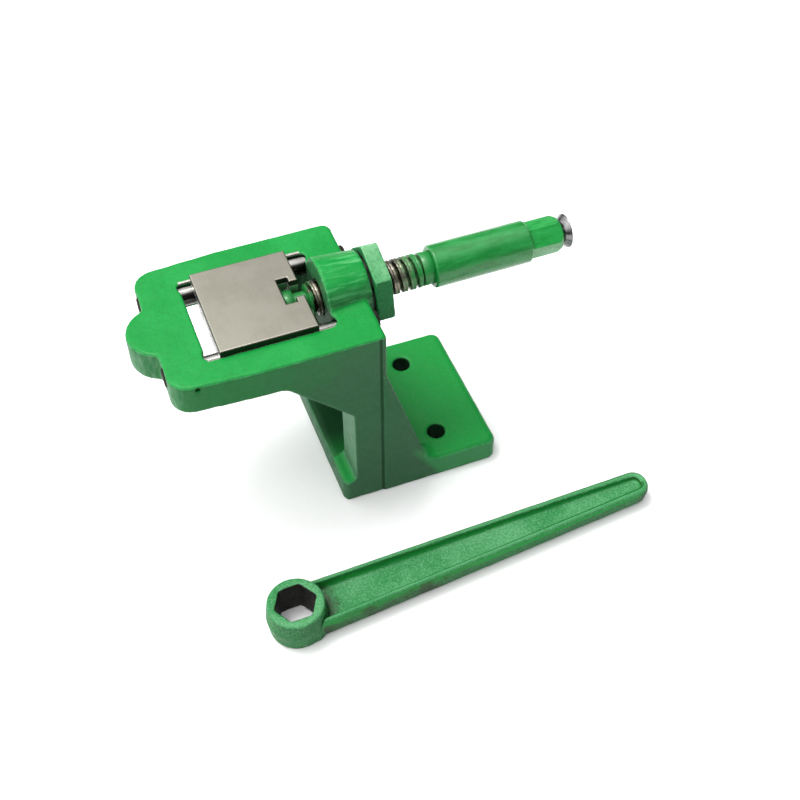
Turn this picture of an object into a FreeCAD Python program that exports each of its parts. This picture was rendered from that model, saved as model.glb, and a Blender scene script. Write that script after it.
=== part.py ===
import FreeCAD, Part
import math
import os
import Sketcher

# Drill press vise: a cast bracket carries a ring-shaped head over a bolted foot.
# A jaw slides in the head's window on two guide rods and is driven by a coarse screw.
# Origin: on the ground, midway between the two bolt holes. +X runs towards the
# screw's grip, +Y towards the back rail and +Z up. All sizes are in millimetres.

SIZES = {
    # Foot
    "base_length": 100.0,
    "base_width": 100.0,
    "base_thickness": 17.0,
    "base_corner": 6.0,
    "base_edge_round": 4.0,
    "bolt_spacing": 60.0,
    "bolt_hole": 11.0,
    "bolt_setback": 33.0,
    # Column between foot and head
    "column_setback": 8.0,
    "column_depth": 18.0,
    "leg_width": 24.0,
    "web_thickness": 7.0,
    "leg_foot_round": 4.5,
    "gusset_reach": 37.5,
    "gusset_drop": 38.5,
    "gusset_round": 10.0,
    "rib_thickness": 12.0,
    "rib_foot": 28.0,
    "rib_foot_round": 9.0,
    "side_step": 0.8,
    "seam_setback": 2.0,
    "seam_width": 1.6,
    "seam_depth": 1.2,
    # Head
    "head_height": 135.0,
    "head_thickness": 19.5,
    "head_overhang": 2.4,
    "head_nose_width": 92.8,
    "head_nose_corner": 12.0,
    "head_back_corner": 5.0,
    "head_front_corner": 1.8,
    "head_edge_round": 1.2,
    "end_rail": 22.5,
    "end_rail_depth": 32.4,
    "nose_rail": 23.5,
    "window_length": 71.4,
    "window_width": 60.6,
    "window_relief": 3.6,
    "relief_poke": 1.6,
    "lobe_radius": 19.0,
    "lobe_overlap": 6.0,
    "lobe_blend": 3.0,
    # Screw boss
    "axis_drop": 7.2,
    "boss_length": 26.1,
    "boss_root": 45.2,
    "boss_end": 41.4,
    "boss_end_chamfer": 1.0,
    "boss_blend": 2.4,
    # Guide rods and the screws that hold them
    "rod_diameter": 11.0,
    "rod_spacing": 55.6,
    "rod_standout": 2.4,
    "rod_recess": 0.4,
    "rod_chamfer": 0.8,
    "grub_diameter": 3.0,
    "grub_length": 8.0,
    "grub_setback": 13.9,
    "grub_tilt": 13.0,
    # Jaw
    "jaw_length": 55.0,
    "jaw_width": 63.0,
    "jaw_plate": 4.0,
    "jaw_open": 6.9,
    "carriage_depth": 8.7,
    "slot_pocket_length": 6.3,
    "slot_pocket_width": 19.8,
    "slot_neck_length": 5.0,
    "slot_neck_width": 12.6,
    "jaw_chamfer": 0.5,
    "jaw_screw_shank": 5.0,
    "jaw_screw_head": 8.5,
    "jaw_screw_head_depth": 5.0,
    "jaw_screw_length": 6.5,
    "jaw_screw_pitch_x": 32.0,
    "jaw_screw_pitch_y": 28.0,
    # Screw spindle, grip and hexagon
    "button_diameter": 16.0,
    "button_neck": 11.0,
    "button_play": 0.3,
    "thread_diameter": 20.0,
    "thread_standoff": 2.0,
    "thread_length": 68.1,
    "thread_end_taper": 1.5,
    "spindle_neck": 19.4,
    "spindle_neck_length": 6.4,
    "grip_diameter": 25.0,
    "grip_length": 59.8,
    "grip_bore": 16.0,
    "grip_chamfer": 0.8,
    "hexagon_flats": 19.0,
    "hexagon_length": 20.3,
    "hexagon_bore": 12.0,
    "hexagon_chamfer": 2.6,
    "hexagon_turn": 46.0,
    "stub_length": 16.0,
    "cap_diameter": 20.4,
    "cap_cone_small": 12.0,
    "cap_height": 5.5,
    "cap_rim": 0.6,
    "cap_shank": 8.0,
    "cap_shank_length": 14.0,
    "cap_socket": 5.0,
    "cap_socket_depth": 2.2,
    # Lock nut and washer
    "washer_diameter": 38.0,
    "washer_thickness": 1.2,
    "nut_flats": 42.5,
    "nut_thickness": 9.7,
    "nut_chamfer": 1.5,
    "nut_turn": 17.0,
    # Wrench that fits the hexagon, lying in front
    "wrench_length": 244.0,
    "wrench_head_diameter": 32.2,
    "wrench_waist_diameter": 34.8,
    "wrench_height": 22.8,
    "wrench_flats": 20.9,
    "wrench_bar_height": 10.2,
    "wrench_bar_root": 32.0,
    "wrench_bar_tip": 19.0,
    "wrench_rim": 3.0,
    "wrench_channel_depth": 5.0,
    "wrench_under_depth": 2.6,
    "wrench_channel_start": 7.5,
    "wrench_channel_round": 2.2,
    "wrench_bar_round": 1.4,
    "wrench_x": -120.5,
    "wrench_y": -119.5,
    "wrench_turn": 2.6,
    # Clearances
    "running_fit": 0.05,
    "slide_gap": 0.3,
    "face_gap": 0.1,
}


class Size:
    """A length that knows its number and the sheet expression it comes from."""

    def __init__(self, value, text):
        self.value = value
        self.text = text

    @staticmethod
    def of(other):
        return other if isinstance(other, Size) else Size(float(other), str(other))

    def __add__(self, other):
        other = Size.of(other)
        return Size(self.value + other.value, f"({self.text} + {other.text})")

    def __sub__(self, other):
        other = Size.of(other)
        return Size(self.value - other.value, f"({self.text} - {other.text})")

    def __mul__(self, other):
        other = Size.of(other)
        return Size(self.value * other.value, f"({self.text} * {other.text})")

    def __truediv__(self, other):
        other = Size.of(other)
        return Size(self.value / other.value, f"({self.text} / {other.text})")

    def __neg__(self):
        return Size(-self.value, f"(0 - {self.text})")


def write_sheet(doc):
    """Put every driving size into the spreadsheet under its own alias."""
    sheet = doc.addObject("Spreadsheet::Sheet", "Sizes")
    for row, (name, value) in enumerate(SIZES.items(), start=1):
        sheet.set(f"A{row}", name)
        sheet.set(f"B{row}", str(value))
        sheet.setAlias(f"B{row}", name)
    doc.recompute()


def size(name):
    return Size(SIZES[name], f"Sizes.{name}")


ZERO = Size(0.0, "0")
ROOT3 = math.sqrt(3.0)

doc = FreeCAD.newDocument("DrillPressVise")
write_sheet(doc)

# Stations along X, each worked out once from the driving sizes
base_right = size("bolt_setback")
base_left = base_right - size("base_length")
column_left = base_left + size("column_setback")
column_right = column_left + size("column_depth")
head_right = column_right + size("head_overhang")
window_right = head_right - size("end_rail")
window_left = window_right - size("window_length")
nose_left = window_left - size("nose_rail")
jaw_left = window_left + size("jaw_open")
jaw_right = jaw_left + size("jaw_length")
button_left = jaw_right - size("slot_neck_length") - size("slot_pocket_length") + size("button_play")
boss_right = window_right + size("boss_length")
washer_left = boss_right + size("face_gap")
nut_left = washer_left + size("washer_thickness") + size("face_gap")
thread_left = jaw_right + size("thread_standoff")
thread_right = thread_left + size("thread_length")
grip_left = thread_right + size("spindle_neck_length")
grip_right = grip_left + size("grip_length")
hexagon_right = grip_right + size("hexagon_length")

gusset_tip = column_left - size("gusset_reach")
gusset_start = gusset_tip - size("gusset_round")

# Heights
head_top = size("head_height")
head_bottom = head_top - size("head_thickness")
end_rail_bottom = head_top - size("end_rail_depth")
axis_height = head_top - size("axis_drop")
plate_bottom = head_top + size("face_gap")
carriage_bottom = plate_bottom - size("carriage_depth")

# Radii and half widths that several pieces share
rod_radius = size("rod_diameter") / 2
rod_bore_radius = rod_radius + size("running_fit")
rod_side = size("rod_spacing") / 2
thread_radius = size("thread_diameter") / 2
thread_bore_radius = thread_radius + size("running_fit")
base_side = size("base_width") / 2
head_side = base_side - size("side_step")
seam_left = column_right - size("seam_setback")
nose_side = size("head_nose_width") / 2
window_side = size("window_width") / 2
carriage_side = window_side - size("slide_gap")
grub_x = nose_left + size("grub_setback")
core_radius = size("grip_bore") / 2 - size("running_fit")
stub_radius = size("hexagon_bore") / 2 - size("running_fit")


def origin_plane(body, role):
    return next(item for item in body.Origin.OriginFeatures if item.Role == role)


def new_body(label):
    body = doc.addObject("PartDesign::Body", "Body_" + label)
    body.Label = label
    return body


def place(body, x, y, z, axis=FreeCAD.Vector(0, 0, 1), turn=ZERO):
    """Put a body at x, y, z, turned about an axis, and keep it tied to the sheet."""
    spot = FreeCAD.Vector(x.value, y.value, z.value)
    body.Placement = FreeCAD.Placement(spot, FreeCAD.Rotation(axis, turn.value))
    for name, length in zip("xyz", (x, y, z)):
        body.setExpression(f"Placement.Base.{name}", length.text)
    if turn is not ZERO:
        body.setExpression("Placement.Rotation.Angle", turn.text)


def new_sketch(body, name, role, offset=ZERO):
    """A sketch on one of the body's own planes, lifted along its normal."""
    sketch = body.newObject("Sketcher::SketchObject", name)
    sketch.AttachmentSupport = [(origin_plane(body, role), "")]
    sketch.MapMode = "FlatFace"
    sketch.AttachmentOffset = FreeCAD.Placement(FreeCAD.Vector(0, 0, offset.value), FreeCAD.Rotation())
    sketch.setExpression("AttachmentOffset.Base.z", offset.text)
    return sketch


def cosine(angle):
    return Size(math.cos(math.radians(angle.value)), f"cos({angle.text} * 1 deg)")


def sine(angle):
    return Size(math.sin(math.radians(angle.value)), f"sin({angle.text} * 1 deg)")


def pin_point(sketch, geometry, point, x, y):
    """Fix a sketch point at x, y with lengths read from the sheet."""
    for kind, length, axis in (("DistanceX", x, -2), ("DistanceY", y, -1)):
        if length is ZERO:
            sketch.addConstraint(Sketcher.Constraint("PointOnObject", geometry, point, axis))
            continue
        index = sketch.addConstraint(Sketcher.Constraint(kind, -1, 1, geometry, point, length.value))
        sketch.setExpression(f"Constraints[{index}]", length.text)


def set_radius(sketch, geometry, radius):
    index = sketch.addConstraint(Sketcher.Constraint("Radius", geometry, radius.value))
    sketch.setExpression(f"Constraints[{index}]", radius.text)


def draw_polygon(sketch, points):
    """A closed outline of straight lines through the points."""
    first = sketch.GeometryCount
    count = len(points)
    corners = [FreeCAD.Vector(x.value, y.value, 0) for x, y in points]
    for start, end in zip(corners, corners[1:] + corners[:1]):
        sketch.addGeometry(Part.LineSegment(start, end), False)
    for step, (x, y) in enumerate(points):
        following = first + (step + 1) % count
        sketch.addConstraint(Sketcher.Constraint("Coincident", first + step, 2, following, 1))
        pin_point(sketch, first + step, 1, x, y)


def tangent_points(before, corner, after, radius):
    """Where an arc of this radius leaves the two sides of a corner, and its middle."""
    towards = (before - corner).normalize()
    away = (after - corner).normalize()
    half = towards.getAngle(away) / 2
    reach = radius / math.tan(half)
    bisector = (towards + away).normalize()
    centre = corner + bisector * (radius / math.sin(half))
    middle = centre - bisector * radius
    return corner + towards * reach, middle, corner + away * reach


def draw_rounded(sketch, points):
    """A closed outline whose corners may carry a third value, their radius."""
    count = len(points)
    corners = [FreeCAD.Vector(point[0].value, point[1].value, 0) for point in points]
    trims = []
    for step, point in enumerate(points):
        if len(point) == 3:
            neighbours = corners[step - 1], corners[(step + 1) % count]
            trims.append(tangent_points(neighbours[0], corners[step], neighbours[1], point[2].value))
        else:
            trims.append((corners[step], None, corners[step]))
    lines = []
    for step in range(count):
        segment = Part.LineSegment(trims[step][2], trims[(step + 1) % count][0])
        lines.append(sketch.addGeometry(segment, False))
    for step, point in enumerate(points):
        arriving, leaving = lines[step - 1], lines[step]
        if len(point) == 2:
            sketch.addConstraint(Sketcher.Constraint("Coincident", arriving, 2, leaving, 1))
            pin_point(sketch, leaving, 1, *point)
            continue
        arc = sketch.addGeometry(Part.Arc(*trims[step]), False)
        near_start = sketch.getPoint(arc, 1).distanceToPoint(trims[step][0]) < 0.001
        start, end = (1, 2) if near_start else (2, 1)
        sketch.addConstraint(Sketcher.Constraint("Tangent", arriving, 2, arc, start))
        sketch.addConstraint(Sketcher.Constraint("Tangent", leaving, 1, arc, end))
        set_radius(sketch, arc, point[2])
        mark = sketch.addGeometry(Part.Point(corners[step]), True)
        sketch.addConstraint(Sketcher.Constraint("PointOnObject", mark, 1, arriving))
        sketch.addConstraint(Sketcher.Constraint("PointOnObject", mark, 1, leaving))
        pin_point(sketch, mark, 1, point[0], point[1])


def draw_box(sketch, left, right, low, high):
    draw_polygon(sketch, [(left, low), (right, low), (right, high), (left, high)])


def draw_circle(sketch, x, y, radius):
    centre = FreeCAD.Vector(x.value, y.value, 0)
    index = sketch.addGeometry(Part.Circle(centre, FreeCAD.Vector(0, 0, 1), radius.value), False)
    pin_point(sketch, index, 3, x, y)
    set_radius(sketch, index, radius)


def draw_hexagon(sketch, flats):
    """A regular hexagon round the sketch origin with two corners on the first axis."""
    corner = flats / ROOT3
    half = corner / 2
    side = flats / 2
    draw_polygon(sketch, [
        (corner, ZERO), (half, side), (-half, side), (-corner, ZERO), (-half, -side), (half, -side),
    ])


def extrude(body, kind, name, sketch, length, both_ways, backwards):
    feature = body.newObject("PartDesign::" + kind, name)
    feature.Profile = sketch
    feature.Length = length.value
    feature.setExpression("Length", length.text)
    feature.Midplane = both_ways
    feature.Reversed = backwards
    sketch.Visibility = False
    doc.recompute()


def pad(body, name, sketch, length, both_ways=False):
    extrude(body, "Pad", name, sketch, length, both_ways, False)


def pocket(body, name, sketch, length, both_ways=False):
    """Cut the sketch away along its normal."""
    before = body.Shape.Volume
    extrude(body, "Pocket", name, sketch, length, both_ways, not both_ways)
    if not body.Shape.Volume < before:
        raise RuntimeError(f"{name} cuts nothing")


def revolve(body, kind, name, sketch, axis="H_Axis"):
    before = body.Shape.Volume if kind == "Groove" else 0
    feature = body.newObject("PartDesign::" + kind, name)
    feature.Profile = sketch
    feature.ReferenceAxis = (sketch, [axis])
    feature.Angle = 360.0
    sketch.Visibility = False
    doc.recompute()
    if kind == "Groove" and not body.Shape.Volume < before:
        raise RuntimeError(f"{name} cuts nothing")


def mirror(body, name, original, role):
    feature = body.newObject("PartDesign::Mirrored", name)
    feature.Originals = [body.getObject(original)]
    feature.MirrorPlane = (origin_plane(body, role), [""])
    body.Tip = feature
    doc.recompute()


def dress(body, kind, name, amount, wanted):
    """Round or chamfer the edges of the body's tip that the test picks."""
    base = body.Tip
    names = [f"Edge{number}" for number, edge in enumerate(base.Shape.Edges, 1) if wanted(edge)]
    if not names:
        raise RuntimeError(f"{name} finds no edge")
    feature = body.newObject("PartDesign::" + kind, name)
    feature.Base = (base, names)
    measure = "Radius" if kind == "Fillet" else "Size"
    setattr(feature, measure, amount.value)
    feature.setExpression(measure, amount.text)
    doc.recompute()


def near(value, target, slack=0.01):
    return abs(value - target) < slack


def is_upright(edge):
    box = edge.BoundBox
    return box.XLength < 0.01 and box.YLength < 0.01


def at_level(edge, height):
    box = edge.BoundBox
    return near(box.ZMin, height) and near(box.ZMax, height)


def on_spot(edge, spots):
    box = edge.BoundBox
    return any(near(box.XMin, x) and near(box.YMin, y) for x, y in spots)


def both_sides(x, y):
    return [(x.value, y.value), (x.value, -y.value)]


# Casting: foot, column, ribs, gussets, ring-shaped head and screw boss in one piece
def cast_foot(body):
    sketch = new_sketch(body, "foot_outline", "XY_Plane")
    corner = size("base_corner")
    draw_rounded(sketch, [
        (base_left, -base_side, corner), (base_right, -base_side, corner),
        (base_right, base_side, corner), (base_left, base_side, corner),
    ])
    pad(body, "foot", sketch, size("base_thickness"))
    top = size("base_thickness").value
    dress(body, "Fillet", "foot_top_round", size("base_edge_round"), lambda edge: at_level(edge, top))


def cast_ribs(body):
    """Two triangular ribs on the foot behind the column, flush with its sides."""
    root = column_right - size("web_thickness") / 2
    foot_end = column_right + size("rib_foot")
    toe = foot_end + size("rib_foot_round") / 2
    sketch = new_sketch(body, "rib_outline", "XZ_Plane")
    draw_rounded(sketch, [
        (root, ZERO), (toe, ZERO), (toe, size("base_thickness")),
        (foot_end, size("base_thickness"), size("rib_foot_round")),
        (head_right, end_rail_bottom), (root, end_rail_bottom),
    ])
    pad(body, "ribs", sketch, base_side * 2, both_ways=True)
    gap_side = base_side - size("rib_thickness")
    sketch = new_sketch(body, "rib_gap_outline", "XY_Plane", size("base_thickness"))
    draw_box(sketch, root, toe + 1, -gap_side, gap_side)
    pocket(body, "rib_gap", sketch, end_rail_bottom)


def cast_column(body):
    """A channel-shaped column, open towards the nose, with slightly flared feet."""
    flare = size("leg_foot_round")
    flare_left = column_left - flare * 1.05
    low = size("base_thickness") / 2
    sketch = new_sketch(body, "column_outline", "XZ_Plane")
    draw_rounded(sketch, [
        (flare_left, low), (column_right, low), (column_right, head_bottom), (column_left, head_bottom),
        (column_left, size("base_thickness"), flare), (flare_left, size("base_thickness")),
    ])
    pad(body, "column", sketch, head_side * 2, both_ways=True)


def cast_gussets(body):
    """Sloped gussets under both side rails, with a rounded front end."""
    root = column_left + size("column_depth") / 4
    foot = head_bottom - size("gusset_drop")
    top = head_bottom + size("head_thickness") / 4
    sketch = new_sketch(body, "gusset_outline", "XZ_Plane")
    draw_rounded(sketch, [
        (gusset_tip, head_bottom, size("gusset_round")), (column_left, foot), (root, foot),
        (root, top), (gusset_start, top), (gusset_start, head_bottom),
    ])
    pad(body, "gussets", sketch, head_side * 2, both_ways=True)
    sketch = new_sketch(body, "gusset_gap_outline", "XY_Plane", foot)
    draw_box(sketch, gusset_start - 1, column_left, -window_side, window_side)
    pocket(body, "gusset_gap", sketch, size("gusset_drop"))
    channel_side = head_side - size("leg_width")
    sketch = new_sketch(body, "channel_outline", "XY_Plane", size("base_thickness"))
    draw_box(sketch, base_left, column_right - size("web_thickness"), -channel_side, channel_side)
    pocket(body, "channel", sketch, head_bottom)


def cast_head(body):
    """A tapered plate with rounded corners, a deep end rail and a round nose lobe."""
    sketch = new_sketch(body, "head_outline", "XY_Plane", head_bottom)
    draw_rounded(sketch, [
        (head_right, -head_side, size("head_front_corner")),
        (head_right, head_side, size("head_back_corner")),
        (gusset_start, head_side),
        (nose_left, nose_side, size("head_nose_corner")), (nose_left, -nose_side, size("head_nose_corner")),
        (gusset_start, -head_side),
    ])
    pad(body, "head", sketch, size("head_thickness"))
    sketch = new_sketch(body, "end_rail_outline", "XY_Plane", end_rail_bottom)
    draw_rounded(sketch, [
        (window_right, -head_side), (head_right, -head_side, size("head_front_corner")),
        (head_right, head_side, size("head_back_corner")), (window_right, head_side),
    ])
    pad(body, "end_rail", sketch, size("end_rail_depth"))
    sketch = new_sketch(body, "lobe_outline", "XY_Plane", head_bottom)
    draw_circle(sketch, nose_left + size("lobe_overlap"), ZERO, size("lobe_radius"))
    pad(body, "nose_lobe", sketch, size("head_thickness"))
    reach = math.sqrt(size("lobe_radius").value ** 2 - size("lobe_overlap").value ** 2)
    notches = both_sides(nose_left, Size.of(reach))
    dress(body, "Fillet", "lobe_blends", size("lobe_blend"),
          lambda edge: is_upright(edge) and on_spot(edge, notches))
    top = head_top.value
    dress(body, "Fillet", "head_top_round", size("head_edge_round"), lambda edge: at_level(edge, top))


def cut_sides(body):
    """Step the sides in left of the parting line and cut a narrow seam along it."""
    outside = base_side + 1
    sketch = new_sketch(body, "side_step_outline", "XY_Plane")
    for side in (1, -1):
        edge, beyond = head_side * side, outside * side
        draw_box(sketch, base_left - 1, seam_left, edge, beyond)
    pocket(body, "side_step", sketch, end_rail_bottom)
    sketch = new_sketch(body, "seam_outline", "XY_Plane")
    floor = head_side - size("seam_depth")
    for side in (1, -1):
        draw_box(sketch, seam_left, seam_left + size("seam_width"), floor * side, outside * side)
    pocket(body, "seam", sketch, end_rail_bottom)


def cast_boss(body):
    """A tapered barrel round the screw, sunk in the end rail."""
    root = size("boss_root") / 2
    end = size("boss_end") / 2
    chamfer = size("boss_end_chamfer")
    axis = axis_height
    sketch = new_sketch(body, "boss_profile", "XZ_Plane")
    draw_polygon(sketch, [
        (window_right, axis), (boss_right, axis), (boss_right, axis + end - chamfer),
        (boss_right - chamfer, axis + end), (window_right, axis + root),
    ])
    revolve(body, "Revolution", "boss", sketch, "Edge1")
    blend_boss(body)


def blend_boss(body):
    """A sloped blend along both sides of the boss where it sinks into the head's top."""
    root = size("boss_root") / 2
    slope = (root - size("boss_end") / 2) / size("boss_length")
    above = axis_height + size("axis_drop") + size("boss_blend") * 0.7
    for side, name in ((-1, "front"), (1, "back")):
        sections = []
        for station, end in ((window_right, "left"), (head_right - size("head_edge_round"), "right")):
            radius = root - slope * (station - window_right)
            sketch = new_sketch(body, f"blend_{name}_{end}", "YZ_Plane", station)
            inner = radius * 0.88 * side
            outer = (radius * 0.945 + size("boss_blend")) * side
            draw_polygon(sketch, [
                (radius * 0.7 * side, head_top - 1), (outer, head_top - 1), (outer, head_top),
                (inner, above), (radius * 0.7 * side, above),
            ])
            sections.append(sketch)
        feature = body.newObject("PartDesign::AdditiveLoft", f"boss_blend_{name}")
        feature.Profile = sections[0]
        feature.Sections = [sections[1]]
        feature.Ruled = True
        doc.recompute()


def cut_openings(body):
    """Window with its corner reliefs, and the bores for rods, screw, bolts and grub screws."""
    sketch = new_sketch(body, "window_outline", "XY_Plane", head_bottom - 1)
    draw_box(sketch, window_left, window_right, -window_side, window_side)
    pocket(body, "window", sketch, size("head_thickness") + 2)
    relief = size("window_relief")
    poke = size("relief_poke")
    sketch = new_sketch(body, "relief_outline", "XY_Plane", head_bottom - 1)
    for x in (window_left - poke + relief, window_right + poke - relief):
        draw_circle(sketch, x, window_side - relief, relief)
        draw_circle(sketch, x, relief - window_side, relief)
    pocket(body, "reliefs", sketch, size("head_thickness") + 2)
    sketch = new_sketch(body, "rod_bore_outline", "YZ_Plane", nose_left - 1)
    draw_circle(sketch, rod_side, axis_height, rod_bore_radius)
    draw_circle(sketch, -rod_side, axis_height, rod_bore_radius)
    pocket(body, "rod_bores", sketch, head_right - nose_left + 2)
    sketch = new_sketch(body, "screw_bore_outline", "YZ_Plane", window_right - 1)
    draw_circle(sketch, ZERO, axis_height, thread_bore_radius)
    pocket(body, "screw_bore", sketch, size("boss_length") + 2)
    sketch = new_sketch(body, "bolt_outline", "XY_Plane")
    draw_circle(sketch, ZERO, size("bolt_spacing") / 2, size("bolt_hole") / 2)
    draw_circle(sketch, ZERO, -size("bolt_spacing") / 2, size("bolt_hole") / 2)
    pocket(body, "bolt_holes", sketch, size("base_thickness"))
    cut_grub_bores(body)


def cut_grub_bores(body):
    """Sloped bores from the nose's upper side edges down to the guide rods."""
    reach = nose_side
    radius = size("grub_diameter") / 2 + size("running_fit")
    across, up = cosine(size("grub_tilt")), sine(size("grub_tilt"))
    far_y, far_z = -rod_side - reach * across, axis_height + reach * up
    sketch = new_sketch(body, "grub_bore_outline", "YZ_Plane", grub_x)
    draw_polygon(sketch, [
        (-rod_side, axis_height), (far_y, far_z), (far_y - radius * up, far_z - radius * across),
        (-rod_side - radius * up, axis_height - radius * across),
    ])
    revolve(body, "Groove", "grub_bore", sketch, "Edge1")
    mirror(body, "grub_bores", "grub_bore", "XZ_Plane")


def build_casting():
    body = new_body("casting")
    cast_foot(body)
    cast_ribs(body)
    cast_column(body)
    cast_gussets(body)
    cast_head(body)
    cut_sides(body)
    cast_boss(body)
    cut_openings(body)
    return body


def turned_piece(label, profile, x, axis_turn=ZERO):
    """A body turned about the screw axis from a closed outline of (x, radius) points."""
    body = new_body(label)
    sketch = new_sketch(body, label + "_profile", "XZ_Plane")
    draw_polygon(sketch, profile)
    revolve(body, "Revolution", label + "_turned", sketch)
    place(body, x, ZERO, axis_height, FreeCAD.Vector(1, 0, 0), axis_turn)
    return body


# Guide rods: ground round bars through both ends of the head
def build_rod(label, y):
    left = nose_left + size("rod_recess")
    length = head_right + size("rod_standout") - left
    chamfer = size("rod_chamfer")
    body = turned_piece(label, [
        (ZERO, ZERO), (length, ZERO), (length, rod_radius - chamfer), (length - chamfer, rod_radius),
        (chamfer, rod_radius), (ZERO, rod_radius - chamfer),
    ], left)
    place(body, left, y, axis_height)
    return body


# Grub screws: one through each upper side edge of the nose, against its guide rod
def build_rod_set_screws():
    body = new_body("rod_set_screw_front")
    tip = rod_radius + size("running_fit")
    sketch = new_sketch(body, "grub_outline", "XY_Plane", tip)
    draw_circle(sketch, ZERO, ZERO, size("grub_diameter") / 2)
    pad(body, "grub", sketch, size("grub_length"))
    sketch = new_sketch(body, "grub_socket_outline", "XY_Plane", tip + size("grub_length") / 2)
    draw_hexagon(sketch, size("grub_diameter") / 2)
    pocket(body, "grub_socket", sketch, size("grub_length") / 2)
    place(body, grub_x, -rod_side, axis_height, FreeCAD.Vector(1, 0, 0), Size.of(90) - size("grub_tilt"))
    twin = doc.addObject("Part::Mirroring", "grub_twin")
    twin.Source = body
    twin.Normal = FreeCAD.Vector(0, 1, 0)
    pair = doc.addObject("Part::Compound", "grub_pair")
    pair.Links = [body, twin]
    pair.Label = "rod_set_screws"
    doc.recompute()
    return pair


# Jaw: a spring steel plate on a carriage that rides on both rods, with a T-slot for the button
def draw_t_slot(sketch):
    """The slot opens through the jaw's right edge, sizes from the jaw's right edge leftwards."""
    neck = -size("slot_neck_length")
    pocket_end = neck - size("slot_pocket_length")
    narrow = size("slot_neck_width") / 2
    wide = size("slot_pocket_width") / 2
    draw_polygon(sketch, [
        (Size.of(1), -narrow), (Size.of(1), narrow), (neck, narrow), (neck, wide),
        (pocket_end, wide), (pocket_end, -wide), (neck, -wide), (neck, -narrow),
    ])


def jaw_screw_spots():
    """Centres of the four screws, measured from the jaw's right edge."""
    middle = -size("jaw_length") / 2
    reach = size("jaw_screw_pitch_x") / 2
    side = size("jaw_screw_pitch_y") / 2
    return [(middle + reach * i, side * j) for i in (-1, 1) for j in (-1, 1)]


def build_jaw_plate():
    body = new_body("jaw_plate")
    sketch = new_sketch(body, "plate_outline", "XY_Plane")
    side = size("jaw_width") / 2
    draw_box(sketch, -size("jaw_length"), ZERO, -side, side)
    pad(body, "plate", sketch, size("jaw_plate"))
    sketch = new_sketch(body, "plate_slot_outline", "XY_Plane")
    draw_t_slot(sketch)
    pocket(body, "plate_slot", sketch, size("jaw_plate"))
    sketch = new_sketch(body, "plate_tap_outline", "XY_Plane")
    for x, y in jaw_screw_spots():
        draw_circle(sketch, x, y, size("jaw_screw_shank") / 2 + size("running_fit"))
    pocket(body, "plate_taps", sketch, size("jaw_plate") * 0.75)
    top = size("jaw_plate").value
    dress(body, "Chamfer", "plate_edge", size("jaw_chamfer"), lambda edge: at_level(edge, top))
    place(body, jaw_right, ZERO, plate_bottom)
    return body


def build_jaw_carriage():
    body = new_body("jaw_carriage")
    sketch = new_sketch(body, "carriage_outline", "XY_Plane")
    draw_box(sketch, -size("jaw_length"), ZERO, -carriage_side, carriage_side)
    pad(body, "carriage", sketch, size("carriage_depth"))
    sketch = new_sketch(body, "saddle_outline", "YZ_Plane", -size("jaw_length") - 1)
    for side in (rod_side, -rod_side):
        draw_circle(sketch, side, axis_height - carriage_bottom, rod_bore_radius)
    pocket(body, "saddles", sketch, size("jaw_length") + 2)
    sketch = new_sketch(body, "carriage_slot_outline", "XY_Plane")
    draw_t_slot(sketch)
    pocket(body, "carriage_slot", sketch, size("carriage_depth"))
    sketch = new_sketch(body, "counterbore_outline", "XY_Plane")
    for x, y in jaw_screw_spots():
        draw_circle(sketch, x, y, size("jaw_screw_head") / 2 + size("slide_gap"))
    pocket(body, "counterbores", sketch, size("jaw_screw_head_depth"))
    sketch = new_sketch(body, "screw_way_outline", "XY_Plane")
    for x, y in jaw_screw_spots():
        draw_circle(sketch, x, y, size("jaw_screw_shank") / 2 + size("running_fit"))
    pocket(body, "screw_ways", sketch, size("carriage_depth"))
    place(body, jaw_right, ZERO, carriage_bottom)
    return body


def build_jaw_screws():
    """Four cap screws up through the carriage into the plate, as separate solids."""
    depth = size("jaw_screw_head_depth")
    screws = []
    for number, (x, y) in enumerate(jaw_screw_spots(), 1):
        body = new_body(f"jaw_screw_{number}")
        sketch = new_sketch(body, f"jaw_screw_head_outline_{number}", "XY_Plane")
        draw_circle(sketch, ZERO, ZERO, size("jaw_screw_head") / 2)
        pad(body, f"jaw_screw_head_{number}", sketch, depth)
        sketch = new_sketch(body, f"jaw_screw_shank_outline_{number}", "XY_Plane", depth)
        draw_circle(sketch, ZERO, ZERO, size("jaw_screw_shank") / 2)
        pad(body, f"jaw_screw_shank_{number}", sketch, size("jaw_screw_length"))
        sketch = new_sketch(body, f"jaw_screw_socket_outline_{number}", "XY_Plane")
        draw_hexagon(sketch, size("jaw_screw_head") / 2)
        pocket(body, f"jaw_screw_socket_{number}", sketch, depth * 0.6)
        place(body, jaw_right + x, y, carriage_bottom)
        screws.append(body)
    group = doc.addObject("Part::Compound", "jaw_screw_set")
    group.Links = screws
    group.Label = "jaw_screws"
    doc.recompute()
    return group


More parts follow.
